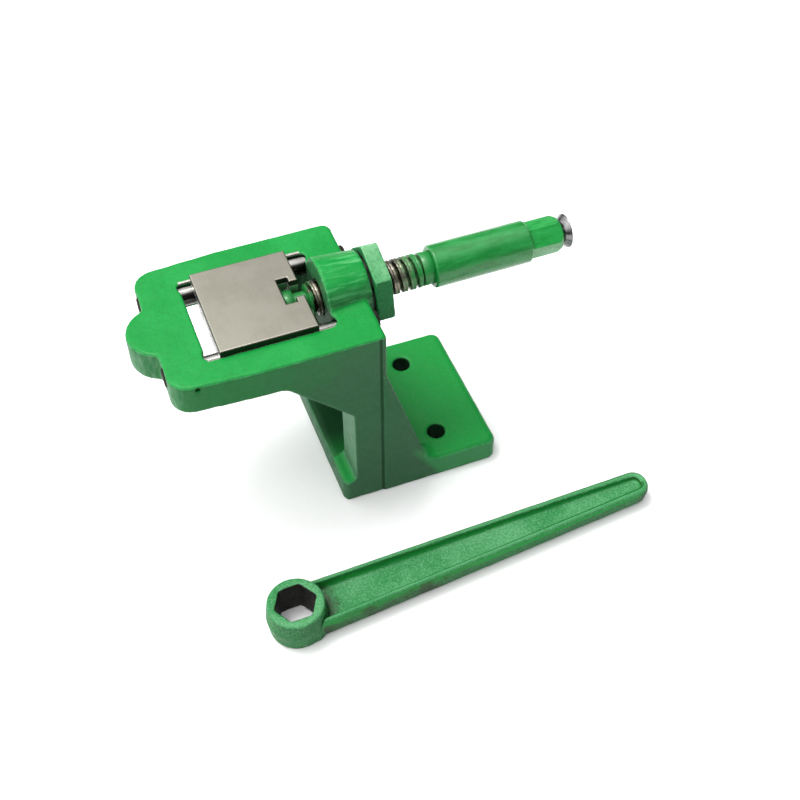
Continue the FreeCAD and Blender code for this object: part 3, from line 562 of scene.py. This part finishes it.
@dataclass(frozen=True)
class TurnedPaint:
    """Glossy green paint over turned or milled steel, worn thin where hands and tools reach."""

    name: str
    colour: Colour = (0.006, 0.165, 0.026)
    thin: Colour = (0.015, 0.235, 0.048)
    roughness: Limits = (0.22, 0.39)
    streaks: Noise = Noise(0.004, 4.0, 0.55, (0.25, 1.0, 1.0))
    worn: Step = Step(0.35, 0.7)
    sag_noise: Noise = Noise(0.007, 2.0)
    sag: float = 0.00025
    peel_noise: Noise = Noise(0.0012, 2.0)
    peel: float = 0.00004

    def build(self) -> Material:
        """Build the material."""
        tree = MaterialTree(self.name)
        streaks = tree.noise(self.streaks)
        paint = tree.mix(tree.spread(streaks, self.worn), self.colour, self.thin)
        sag = tree.bump(tree.noise(self.sag_noise), self.sag)
        peel = tree.bump(tree.noise(self.peel_noise), self.peel, sag)
        tree.set(Base_Color=paint, Roughness=tree.uneven(streaks, self.roughness), Normal=peel)
        tree.set(Specular_IOR_Level=0.4, Coat_Weight=0.3, Coat_Roughness=0.16)
        return tree.material


@dataclass(frozen=True)
class GroundSteel:
    """Ground steel with fine lines along one direction and a faint cloudy mottle."""

    name: str
    light: Colour = (0.285, 0.272, 0.229)
    dull: Colour = (0.225, 0.217, 0.18)
    # colour of faces that don't look up, if given: painted shade on the edges
    side: Colour | None = None
    roughness: Limits = (0.44, 0.31)
    top: Step = Step(0.45, 0.6)
    clouds: Noise = Noise(0.016, 4.0, 0.55)
    lines: Noise = Noise(0.00035, 3.0, 0.7, (1.0, 0.03, 1.0))
    cloud_share: float = 0.7
    tones: Step = Step(0.36, 0.62)
    cut: float = 0.00001

    def build(self) -> Material:
        """Build the material."""
        tree = MaterialTree(self.name)
        lines = tree.noise(self.lines)
        clouds = tree.times(tree.noise(self.clouds), self.cloud_share)
        tone = tree.plus(clouds, tree.times(lines, 1.0 - self.cloud_share))
        steel = tree.mix(tree.spread(tone, self.tones), self.dull, self.light)
        # painted shade: faces that don't look up take the side colour
        if self.side is not None:
            steel = tree.mix(tree.spread(tree["face_z"], self.top), self.side, steel)
        tree.set(Base_Color=steel, Roughness=tree.uneven(tone, self.roughness), Metallic=1.0)
        tree.set(Normal=tree.bump(lines, self.cut))
        return tree.material


@dataclass(frozen=True)
class RodSteel:
    """Polished round bar, with painted shade at its ends and a painted dark reflection along its sides."""

    name: str
    polish: Colour = (0.42, 0.41, 0.39)
    cloudy: Colour = (0.24, 0.235, 0.22)
    # near black: painted shade on the ends outside the window and a painted dark reflection on the sides
    shade_and_dark_reflection: Colour = (0.012, 0.013, 0.01)
    window: Band = Band(-0.133, -0.059, 0.001)
    clouds: Mottle = Mottle(Noise(0.008, 4.0, 0.55), Step(0.36, 0.62))
    dark_reflection_side: Step = Step(0.42, 0.66, 0.0, 0.9)
    roughness: Limits = (0.65, 0.17)
    mark_noise: Noise = Noise(0.0006, 3.0, 0.6, (0.1, 1.0, 1.0))
    marks: float = 0.00001

    def build(self) -> Material:
        """Build the material."""
        tree = MaterialTree(self.name)
        steel = tree.mix(tree.mottle(self.clouds), self.cloudy, self.polish)
        aside = tree.combine("ABSOLUTE", tree["face_y"])
        # painted reflection: faces that look sideways take the near-black colour, as if they mirrored the
        # dark walls
        steel = tree.mix(tree.spread(aside, self.dark_reflection_side), steel, self.shade_and_dark_reflection)
        # painted shade: outside the window the rod takes the near-black colour, like a dark hole
        bright = tree.spread(tree["x"], self.window)
        tree.set(Base_Color=tree.mix(bright, self.shade_and_dark_reflection, steel), Metallic=bright)
        tree.set(Roughness=tree.ease(bright, *self.roughness), Specular_IOR_Level=0.1)
        tree.set(Normal=tree.bump(tree.noise(self.mark_noise), self.marks))
        return tree.material


@dataclass(frozen=True)
class OiledThread:
    """Turned thread steel, oily brown in the roots, sprayed green at the button and towards the grip."""

    name: str
    crest: Colour = (0.22, 0.2, 0.16)
    root: Colour = (0.022, 0.018, 0.012)
    spray: Colour = (0.008, 0.18, 0.032)
    crest_radius: Step = Step(0.0086, 0.0098)
    spray_right: Step = Step(-0.019, -0.002)
    spray_left: Step = Step(-0.0675, -0.0645, 1.0, 0.0)
    spray_noise: Noise = Noise(0.003)
    spray_wander: float = 0.016
    root_share: float = 0.35
    left_share: float = 0.85
    neck: Step = Step(-0.0008, -0.0002)
    gloss_noise: Noise = Noise(0.0015)
    roughness: Limits = (0.26, 0.46)
    ring_noise: Noise = Noise(0.0008, 3.0)
    rings: float = 0.00004

    def build(self) -> Material:
        """Build the material."""
        tree = MaterialTree(self.name)
        x = tree["x"]
        radius = tree.distance(tree.minus(tree["z"], SCREW_HEIGHT), tree["y"])
        crest = tree.spread(radius, self.crest_radius)
        wander = tree.times(tree.minus(tree.noise(self.spray_noise), 0.5), self.spray_wander)
        ragged = tree.plus(x, wander)
        left = tree.spread(ragged, self.spray_left)
        spray = tree.larger(tree.spread(ragged, self.spray_right), left)
        cover = tree.times(spray, tree.ease(crest, self.root_share, 1.0))
        cover = tree.larger(cover, tree.spread(x, self.neck))
        cover = tree.larger(cover, tree.times(left, self.left_share))
        steel = tree.mix(crest, self.root, self.crest)
        tree.set(Base_Color=tree.mix(cover, steel, self.spray), Metallic=tree.minus(1.0, cover))
        tree.set(Roughness=tree.uneven(tree.noise(self.gloss_noise), self.roughness))
        tree.set(Normal=tree.bump(tree.noise(self.ring_noise), self.rings))
        return tree.material


@dataclass(frozen=True)
class DarkSteel:
    """Blackened or oily dark steel."""

    name: str
    light: Colour = (0.1, 0.1, 0.1)
    dark: Colour = (0.02, 0.02, 0.02)
    roughness: Limits = (0.22, 0.44)
    clouds: Noise = Noise(0.003, 4.0, 0.6)
    tones: Step = Step(0.35, 0.65)
    relief: float = 0.00003

    def build(self) -> Material:
        """Build the material."""
        tree = MaterialTree(self.name)
        cloud = tree.noise(self.clouds)
        steel = tree.mix(tree.spread(cloud, self.tones), self.dark, self.light)
        tree.set(Base_Color=steel, Roughness=tree.uneven(cloud, self.roughness), Metallic=1.0)
        tree.set(Normal=tree.bump(cloud, self.relief))
        return tree.material


Look = TurnedPaint | GroundSteel | DarkSteel


def linked(name: str, data: bpy.types.ID) -> Piece:
    """Make an object round a mesh, light or camera and put it in the scene."""
    thing = bpy.data.objects.new(name, data)
    bpy.context.scene.collection.objects.link(thing)
    return thing


def new_piece(name: str, points: np.ndarray, faces: list[list[int]]) -> Piece:
    """Make a mesh object from n by 3 corner places in metres and each face's corner numbers."""
    mesh = bpy.data.meshes.new(name)
    mesh.from_pydata(points.tolist(), [], faces)
    mesh.validate()
    return linked(name, mesh)


def copy_of(node: str, name: str) -> Piece:
    """Copy a CAD node's mesh to a new piece, its doubled corners merged and its flat faces joined."""
    work = bmesh.new()
    work.from_mesh(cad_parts[node].data)
    bmesh.ops.remove_doubles(work, verts=work.verts, dist=MERGE_DISTANCE)
    bmesh.ops.dissolve_limit(work, angle_limit=FLAT_ANGLE, verts=work.verts, edges=work.edges)
    mesh = bpy.data.meshes.new(name)
    work.to_mesh(mesh)
    work.free()
    return linked(name, mesh)


def shade(piece: Piece, how: Shading, angle: float = 32.0) -> None:
    """Shade a piece's faces flat or smooth, keeping edges sharper than the angle where asked."""
    if how is Shading.FLAT:
        piece.data.shade_flat()
        return
    piece.data.shade_smooth()
    if how is Shading.BY_ANGLE:
        piece.data.set_sharp_from_angle(angle=math.radians(angle))


def finish(piece: Piece, material: Material, body: Body, node: str) -> None:
    """Give a piece its material and tie it to the CAD.

    Args:
        piece: the finished piece.
        material: its material.
        body: the body it moves with.
        node: the CAD node it stands for.
    """
    piece.data.materials.clear()
    piece.data.materials.append(material)
    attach(piece, body.value)
    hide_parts(node)
    log.info("%s: %d corners", piece.name, len(piece.data.vertices))


def dress(node: str, name: str, look: Look, body: Body, edge: float,
          how: Shading = Shading.BY_ANGLE) -> None:
    """Dress a machined node: its own shape, its edges rounded by a live Bevel modifier.

    Args:
        node: the CAD node.
        name: the piece's name.
        look: what builds its material.
        body: the body it moves with.
        edge: how wide its edges are rounded, in metres.
        how: how its faces are shaded.
    """
    piece = copy_of(node, name)
    bevel = piece.modifiers.new("edges", "BEVEL")
    bevel.width = edge
    bevel.segments = 2
    bevel.limit_method = "ANGLE"
    bevel.angle_limit = EDGE_ANGLE
    bevel.harden_normals = how is not Shading.FLAT
    bevel.use_clamp_overlap = True
    shade(piece, how)
    finish(piece, look.build(), body, node)


def cast(node: str, name: str, voxel: float, rounds: int, wave: float, keep: float = 1.0) -> Piece:
    """Turn a node's sharp solid into a casting: remeshed, smoothed at its edges and slightly wavy.

    Args:
        node: the CAD node.
        name: the piece's name.
        voxel: the mesh size in metres.
        rounds: smoothing passes.
        wave: height of the surface's waves in metres.
        keep: share of the faces that is kept.

    Returns:
        The new piece, with smooth shading.
    """
    piece = copy_of(node, name)
    remesh = piece.modifiers.new("skin", "REMESH")
    remesh.mode = "VOXEL"
    remesh.voxel_size = voxel
    remesh.use_smooth_shade = True
    smooth = piece.modifiers.new("soft_edges", "SMOOTH")
    smooth.factor = 0.5
    smooth.iterations = rounds
    cloud = bpy.data.textures.new(name + "_wave", "CLOUDS")
    cloud.noise_scale = WAVE_SIZE
    cloud.noise_depth = 2
    waves = piece.modifiers.new("waves", "DISPLACE")
    waves.texture = cloud
    waves.texture_coords = "LOCAL"
    waves.strength = wave
    waves.mid_level = 0.5
    if keep < 1.0:
        thin = piece.modifiers.new("thin", "DECIMATE")
        thin.ratio = keep
    graph = bpy.context.evaluated_depsgraph_get()
    mesh = bpy.data.meshes.new_from_object(piece.evaluated_get(graph))
    old, piece.data = piece.data, mesh
    mesh.name = name
    piece.modifiers.clear()
    bpy.data.meshes.remove(old)
    shade(piece, Shading.SMOOTH)
    return piece


def corners(piece: Piece) -> np.ndarray:
    """A piece's corner positions as n by 3 numbers."""
    points = np.empty(len(piece.data.vertices) * 3)
    piece.data.vertices.foreach_get("co", points)
    return points.reshape(-1, 3)


def move_corners(piece: Piece, points: np.ndarray) -> None:
    """Put a piece's corners at new places, given as n by 3 numbers."""
    piece.data.vertices.foreach_set("co", points.ravel())
    piece.data.update()


def eased(share: np.ndarray) -> np.ndarray:
    """A smooth step over shares that are cut off at 0 and 1."""
    share = share.clip(0.0, 1.0)
    return share * share * (3.0 - 2.0 * share)


def smooth_where(piece: Piece, share: np.ndarray, rounds: int) -> None:
    """Smooth part of a piece's surface.

    Each round moves a corner half of the way, times its share, to the mean of its neighbours.

    Args:
        piece: the piece.
        share: how strongly each corner is smoothed, 0 to 1.
        rounds: smoothing passes.
    """
    points = corners(piece)
    pairs = np.empty(len(piece.data.edges) * 2, dtype=np.int64)
    piece.data.edges.foreach_get("vertices", pairs)
    pairs = pairs.reshape(-1, 2)
    pairs = pairs[(share[pairs] > 0.0).any(axis=1)]
    first, second = pairs[:, 0], pairs[:, 1]
    count = np.bincount(pairs.ravel(), minlength=len(points)).clip(1)[:, None]
    for _ in range(rounds):
        total = np.zeros_like(points)
        np.add.at(total, first, points[second])
        np.add.at(total, second, points[first])
        points += (total / count - points) * (share * 0.5)[:, None]
    move_corners(piece, points)


def ring_angles(columns: int) -> np.ndarray:
    """The angles of a ring's corners in radians."""
    return np.arange(columns) * 2.0 * np.pi / columns


def ring_faces(rows: int, columns: int) -> list[list[int]]:
    """Faces of a tube of rows by columns corners: its quads, and the triangles at its two poles."""
    index = np.arange(rows * columns).reshape(rows, columns)
    right = np.roll(index, -1, axis=1)
    quads = np.stack([index[:-1], index[1:], right[1:], right[:-1]], axis=-1).reshape(-1, 4)
    first, last = rows * columns, rows * columns + 1
    start = np.stack([np.full(columns, first), index[0], right[0]], axis=1)
    end = np.stack([np.full(columns, last), right[-1], index[-1]], axis=1)
    return quads[:, ::-1].tolist() + start[:, ::-1].tolist() + end[:, ::-1].tolist()


def tube(name: str, x: np.ndarray, radius: np.ndarray, ends: Limits, y: float = 0.0) -> Piece:
    """A closed surface round a line along X at the screw's height.

    Point (i, j) lies at x[i, j], with y and z on a circle of radius[i, j] at the angle
    2 pi j / columns. The surface closes onto a pole at each end.

    Args:
        name: the piece's name.
        x: stations in metres, rows by columns.
        radius: radii in metres, rows by columns.
        ends: the poles' stations.
        y: the line's place across.

    Returns:
        The new piece.
    """
    rows, columns = x.shape
    around = np.broadcast_to(ring_angles(columns), x.shape)
    sides = np.stack([x, y + radius * np.cos(around), SCREW_HEIGHT + radius * np.sin(around)], axis=-1)
    poles = np.array([[end, y, SCREW_HEIGHT] for end in ends])
    return new_piece(name, np.vstack([sides.reshape(-1, 3), poles]), ring_faces(rows, columns))


def rings(profile: list[Limits], columns: int) -> tuple[np.ndarray, np.ndarray]:
    """Repeat a profile's stations and radii round their whole circles."""
    x, radius = np.repeat(np.array(profile).T[:, :, None], columns, axis=2)
    return x, radius


@dataclass
class FrameCasting:
    """The one-piece casting with its guide rods and grub screws.

    The ribs' toe is smoothed within its reach on both sides. A rod's profile has a support loop
    beside each edge, at so many chamfers from the end.
    """

    voxel: float = 0.0009
    smoothing: int = 5
    wave: float = 0.00035
    keep: float = 0.85
    toe: Triple = (-0.019, 0.047, 0.017)
    toe_reach: Triple = (0.016, 0.012, 0.012)
    toe_rounds: int = 60
    rod_radius: float = 0.0055
    rod_chamfer: float = 0.0008
    rod_stand: float = 0.001
    rod_columns: int = 72
    end_loop: float = 1.1
    side_loop: float = 1.2
    screw_edge: float = 0.0002
    paint: CastPaint = BracketPaint("green_casting")
    rod_steel: RodSteel = RodSteel("rod_steel")
    screw_steel: DarkSteel = DarkSteel("grub_steel")

    def build_casting(self) -> None:
        """Round and roughen a copy of the casting's solid."""
        piece = cast("casting", "cast_bracket", self.voxel, self.smoothing, self.wave, self.keep)
        points = corners(piece)
        away = np.abs(points - self.toe)
        away[:, 1] = np.abs(np.abs(points[:, 1]) - self.toe[1])
        near = np.clip(2.0 - 2.0 * np.linalg.norm(away / self.toe_reach, axis=1), 0.0, 1.0)
        smooth_where(piece, near, self.toe_rounds)
        finish(piece, self.paint.build(), Body.FRAME, "casting")

    def build_rods(self) -> None:
        """Turn both guide rods, with chamfered ends that stand a little out of the nose's notches."""
        steel = self.rod_steel.build()
        for node in ("guide_rod_back", "guide_rod_front"):
            low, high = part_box(node)
            left, right = low[0] - self.rod_stand, high[0]
            radius, cut = self.rod_radius, self.rod_chamfer
            inner, outer = radius - cut * self.end_loop, cut * self.side_loop
            profile = [
                (left, inner), (left, radius - cut), (left + cut, radius), (left + outer, radius),
                (right - outer, radius), (right - cut, radius), (right, radius - cut), (right, inner),
            ]
            x, radii = rings(profile, self.rod_columns)
            piece = tube(node + "_bar", x, radii, (left, right), (low[1] + high[1]) / 2.0)
            shade(piece, Shading.BY_ANGLE)
            finish(piece, steel, Body.FRAME, node)

    def build(self) -> None:
        """Build every piece of the frame."""
        self.build_casting()
        self.build_rods()
        dress("rod_set_screws", "rod_grub_screws", self.screw_steel, Body.FRAME,
              self.screw_edge)


@dataclass
class JawUnit:
    """The sliding jaw: ground plate, carriage and the screws between them."""

    edge: float = 0.0003
    # the plate's near-black side colour is painted shade on its edges
    plate_steel: GroundSteel = GroundSteel("plate_steel", side=(0.05, 0.048, 0.045))
    carriage_steel: GroundSteel = GroundSteel(
        "carriage_steel", (0.66, 0.65, 0.63), (0.5, 0.49, 0.47), roughness=(0.38, 0.25),
        lines=Noise(0.00035, 3.0, 0.7, (1.0, 0.05, 1.0)))
    screw_steel: DarkSteel = DarkSteel("jaw_screw_steel")

    def build(self) -> None:
        """Build every piece of the jaw."""
        for node, name, look, slot in (
            ("jaw_plate", "ground_plate", self.plate_steel, "ground_steel"),
            ("jaw_carriage", "rod_carriage", self.carriage_steel, "ground_steel"),
            ("jaw_screws", "carriage_screws", self.screw_steel, "dark_screw"),
        ):
            dress(node, name, look, Body.JAW, self.edge, Shading.FLAT)


@dataclass
class ScrewUnit:
    """The screw spindle with its thread, grip sleeve, hexagon and flared end screw."""

    pitch: float = 0.005
    crest_radius: float = 0.01
    root_radius: float = 0.008
    root_share: float = 0.22
    flank_share: float = 0.2
    groove_depth: float = 0.0003
    groove_width: float = 0.07
    thread_left: float = -0.0686
    thread_right: float = -0.0005
    thread_fade: float = 0.0012
    thread_step: float = 0.00025
    sharp_angle: float = 50.0
    chamfer: float = 0.0003
    button_length: float = 0.0057
    button_radius: float = 0.008
    button_neck: float = 0.0055
    neck_radius: float = 0.0097
    neck_right: float = 0.0059
    core_radius: float = 0.00795
    core_right: float = 0.0657
    stub_radius: float = 0.0059
    columns: int = 120
    thread: OiledThread = OiledThread("screw_steel")
    sleeve_paint: TurnedPaint = TurnedPaint("grip_paint")
    hexagon_paint: TurnedPaint = TurnedPaint("hexagon_paint", (0.008, 0.23, 0.036), (0.018, 0.3, 0.06))
    cap_steel: DarkSteel = DarkSteel("cap_steel", (0.24, 0.24, 0.24), (0.15, 0.15, 0.15), (0.1, 0.32))

    def thread_surface(self, x: np.ndarray, turn: np.ndarray) -> np.ndarray:
        """Radius of the screw at a station and an angle.

        The thread is a wave of the phase x / pitch - angle / full turn. Its crest and root are flat
        and its flanks slope, a shallow groove runs along the crest's middle, and the wave fades into
        the core at both ends.

        Args:
            x: stations in metres.
            turn: angles in radians.

        Returns:
            The radii in metres.
        """
        phase = np.mod(x / self.pitch - turn / (2.0 * np.pi), 1.0)
        away = np.abs(phase - 0.5) * 2.0
        crest = eased((away - self.root_share) / self.flank_share)
        groove = self.groove_depth * np.exp(-(((1.0 - away) / self.groove_width) ** 2))
        from_end = np.minimum(x - self.thread_left, self.thread_right - x)
        fade = (from_end / self.thread_fade).clip(0.0, 1.0)
        return self.root_radius + (self.crest_radius - self.root_radius - groove) * crest * fade

    def build_spindle(self) -> None:
        """Make the spindle as one surface, its thread worked out by angle and station."""
        low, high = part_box("spindle")
        start, end, cut = low[0], high[0], self.chamfer
        disc, button, neck = start + self.button_length, self.button_radius, self.neck_radius
        head = [
            (start, button - cut), (start + cut, button), (disc - cut, button), (disc, button - cut),
            (disc, self.button_neck), (self.thread_left, self.button_neck),
        ]
        tail = [
            (self.thread_right, neck - cut), (self.thread_right + cut, neck), (self.neck_right - cut, neck),
            (self.neck_right, neck - cut), (self.neck_right, self.core_radius),
            (self.core_right, self.core_radius), (self.core_right, self.stub_radius), (end, self.stub_radius),
        ]
        stations = np.arange(self.thread_left, self.thread_right, self.thread_step)
        grid_x, grid_turn = np.meshgrid(stations, ring_angles(self.columns), indexing="ij")
        threads = grid_x, self.thread_surface(grid_x, grid_turn)
        x, radius = (np.vstack(part) for part in zip(rings(head, self.columns), threads,
                                                     rings(tail, self.columns)))
        piece = tube("screw_spindle", x, radius, (start, end))
        shade(piece, Shading.BY_ANGLE, self.sharp_angle)
        finish(piece, self.thread.build(), Body.SPINDLE, "spindle")

    def build(self) -> None:
        """Build every piece of the screw."""
        self.build_spindle()
        for node, name, look, slot, edge in (
            ("grip_sleeve", "painted_grip", self.sleeve_paint, "green_steel", 0.0004),
            ("hex_drive", "painted_hexagon", self.hexagon_paint, "green_steel", 0.0005),
            ("end_screw", "flared_end_screw", self.cap_steel, "cap_steel", 0.0002),
        ):
            dress(node, name, look, Body.SPINDLE, edge)


@dataclass
class LockNutSet:
    """The rough hexagon lock nut and the washer behind it."""

    voxel: float = 0.0005
    smoothing: int = 4
    wave: float = 0.0003
    washer_edge: float = 0.0002
    paint: CastPaint = CastPaint(
        "nut_paint", colour=(0.055, 0.26, 0.09), thin=(0.18, 0.43, 0.22), side=(0.014, 0.17, 0.046),
        dust=(0.022, 0.15, 0.048), wave=0.0006, grain=0.0006, speckle=0.3)
    # near-black washer: dark steel, painted darker still as the shade in the narrow gap between boss and nut
    shaded_washer_steel: DarkSteel = DarkSteel(
        "shaded_washer_steel", (0.03, 0.03, 0.028), (0.008, 0.008, 0.008), (0.32, 0.54))

    def build(self) -> None:
        """Build the nut and the washer."""
        nut = cast("lock_nut", "hexagon_lock_nut", self.voxel, self.smoothing, self.wave)
        finish(nut, self.paint.build(), Body.NUT, "lock_nut")
        dress("lock_washer", "split_washer", self.shaded_washer_steel, Body.WASHER, self.washer_edge)


@dataclass
class LooseWrench:
    """The cast wrench that lies in front of the vise.

    Its bar is higher and a little narrower than the solid's. Names that begin with solid are the
    solid's sizes, the others the cast bar's, with half widths for root and tip.
    """

    voxel: float = 0.0007
    smoothing: int = 6
    wave: float = 0.0004
    head_radius: float = 0.0172
    blend_width: float = 0.0016
    bar_end: float = 0.2171
    taper_length: float = 0.2266
    solid_root: float = 0.016
    solid_tip: float = 0.0095
    solid_rim: float = 0.003
    solid_floor: float = 0.0052
    solid_height: float = 0.0102
    root: float = 0.0151
    tip: float = 0.0087
    rim: float = 0.0036
    tip_rim: float = 0.0046
    floor: float = 0.0096
    height: float = 0.0169
    tip_height: float = 0.0137
    draft_high: float = 0.0005
    draft_low: float = 0.0013
    crown: float = 0.0013
    stretch: float = 0.0014
    bend: float = 0.009
    offset: float = -0.0002
    paint: CastPaint = WrenchPaint(
        "wrench_paint", colour=(0.026, 0.195, 0.055), thin=(0.068, 0.265, 0.104), side=(0.01, 0.17, 0.032),
        dust=(0.02, 0.13, 0.042), grain=0.0008)

    def reshape_bar(self, points: np.ndarray) -> np.ndarray:
        """Give the bar its cast section.

        Let s run along the bar from the socket's axis, q across it, and let r be the distance from
        the bar's middle line. The channel, r below its half width, scales to the cast half width.
        The rim, wider towards the tip with the cube of s, scales to the cast rim and leans in by a
        draft above and below half height. Heights scale evenly up to the channel's floor, and from
        there to a rim that gets lower towards the tip, crowned by a parabola across it. q grows by
        an offset and a bend in proportion to s, and s is stretched. The change fades in as a smooth
        step over the blend width outside the head.

        Args:
            points: n by 3 corners in metres.

        Returns:
            The moved corners.
        """
        along = np.array([math.cos(WRENCH_TURN), math.sin(WRENCH_TURN)])
        across = np.array([-along[1], along[0]])
        flat, z = points[:, :2] - WRENCH_SOCKET, points[:, 2]
        s, q = flat @ along, flat @ across
        middle = np.clip(s, 0.0, self.bar_end)
        taper = middle / self.taper_length
        r = np.hypot(s - middle, q)
        solid = self.solid_root + (self.solid_tip - self.solid_root) * taper - self.solid_rim
        rim = self.rim + (self.tip_rim - self.rim) * taper ** 3
        cast_width = self.root + (self.tip - self.root) * taper - rim
        share = np.maximum((r - solid) / self.solid_rim, 0.0)
        across_rim = share.clip(0.0, 1.0)
        top = self.height + (self.tip_height - self.height) * taper
        rising = (z - self.solid_floor) / (self.solid_height - self.solid_floor)
        raised = np.where(z < self.solid_floor, z * self.floor / self.solid_floor,
                          self.floor + rising * (top - self.floor))
        raised -= self.crown * (2.0 * across_rim - 1.0) ** 2 * rising.clip(0.0, 1.0) ** 2
        lean = 2.0 * z / self.solid_height - 1.0
        draft = np.where(lean > 0.0, self.draft_high * lean, -self.draft_low * lean) * across_rim
        radius = np.where(r < solid, r * cast_width / solid, cast_width + share * rim) - draft
        fade = eased((np.hypot(s, q) - self.head_radius) / self.blend_width)
        factor = 1.0 + (radius / np.maximum(r, 1e-6) - 1.0) * fade
        new_s = middle * (1.0 + self.stretch / self.bar_end * fade) + (s - middle) * factor
        new_q = q * factor + (self.offset + self.bend * middle) * fade
        flat = WRENCH_SOCKET + new_s[:, None] * along + new_q[:, None] * across
        return np.column_stack([flat, z + (raised - z) * fade])

    def build(self) -> None:
        """Round and roughen a copy of the wrench's solid and give its bar the cast section."""
        piece = cast("wrench", "cast_wrench", self.voxel, self.smoothing, self.wave)
        move_corners(piece, self.reshape_bar(corners(piece)))
        finish(piece, self.paint.build(), Body.WRENCH, "wrench")


@dataclass
class Studio:
    """Pale floor, soft light and the camera."""

    eye: Triple = (-0.1952, -0.4724, 0.612)
    azimuth: float = math.radians(-21.16)
    elevation: float = math.radians(49.51)
    lens: float = 55.4
    sensor: float = 36.0
    floor_reach: float = 6.0
    floor_height: float = -0.0002
    paper: tuple[Colour, Colour] = ((0.9, 0.9, 0.9), (0.93, 0.93, 0.93))
    fibre: Noise = Noise(0.004, 3.0)
    sky_centre: Triple = (-0.45, 0.15, 0.88)
    sky: Step = Step(0.35, 0.95, 0.16, 2.6)
    lamp_place: Triple = (-0.35, 0.3, 1.25)
    lamp_aim: Triple = (-0.05, 0.0, 0.1)
    lamp_size: float = 0.5
    lamp_power: float = 11.0

    def build_floor(self) -> None:
        """Lay a wide flat floor of matte white paper just under height 0."""
        side = np.array([-self.floor_reach, self.floor_reach])
        x, y = np.meshgrid(side, side, indexing="ij")
        points = np.stack([x.ravel(), y.ravel(), np.full(4, self.floor_height)], axis=1)
        floor = new_piece("floor", points, [[0, 2, 3, 1]])
        paper = MaterialTree("pale_floor")
        paper.set(Base_Color=paper.mix(paper.noise(self.fibre), *self.paper), Roughness=0.75)
        paper.set(Specular_IOR_Level=0.15)
        floor.data.materials.append(paper.material)

    def build_lamp(self) -> None:
        """Hang one square soft light over the vise."""
        lamp = bpy.data.lights.new("top_box", "AREA")
        lamp.size = self.lamp_size
        lamp.energy = self.lamp_power
        holder = linked("top_box", lamp)
        holder.location = self.lamp_place
        back = Vector(self.lamp_place) - Vector(self.lamp_aim)
        holder.rotation_euler = back.to_track_quat("Z", "Y").to_euler()

    def build_sky(self) -> None:
        """Make the sky bright overhead and to the left, and dark round the horizon and the camera."""
        world = bpy.data.worlds.new("studio")
        world.use_nodes = True
        nodes, links = world.node_tree.nodes, world.node_tree.links
        place = nodes.new("ShaderNodeTexCoord")
        tilt = nodes.new("ShaderNodeVectorMath")
        tilt.operation = "DOT_PRODUCT"
        tilt.inputs[1].default_value = Vector(self.sky_centre).normalized()
        links.new(place.outputs["Generated"], tilt.inputs[0])
        strength = smooth_step(world.node_tree, tilt.outputs["Value"], self.sky)
        links.new(strength, nodes["Background"].inputs["Strength"])
        nodes["Background"].inputs["Color"].default_value = (1.0, 1.0, 1.0, 1.0)
        bpy.context.scene.world = world

    def build_camera(self) -> None:
        """Set the camera by its place, its azimuth and its elevation."""
        turn, rise = self.azimuth, self.elevation
        back = Vector((math.sin(turn) * math.cos(rise), -math.cos(turn) * math.cos(rise), math.sin(rise)))
        lens = bpy.data.cameras.new("photo_camera")
        lens.lens = self.lens
        lens.sensor_width = self.sensor
        camera = linked("photo_camera", lens)
        camera.location = self.eye
        camera.rotation_euler = back.to_track_quat("Z", "Y").to_euler()
        bpy.context.scene.camera = camera

    def build(self) -> None:
        """Build the floor, the light and the camera, and show colours without a film curve."""
        self.build_floor()
        self.build_sky()
        self.build_lamp()
        self.build_camera()
        bpy.context.scene.view_settings.view_transform = "Standard"


def main() -> None:
    """Build the studio and every sub-assembly in turn."""
    logging.basicConfig(level=logging.INFO, format="%(name)s %(message)s")
    for unit in (Studio(), FrameCasting(), JawUnit(), ScrewUnit(), LockNutSet(), LooseWrench()):
        unit.build()
        log.info("built %s", type(unit).__name__)


if __name__ == "__main__":
    main()
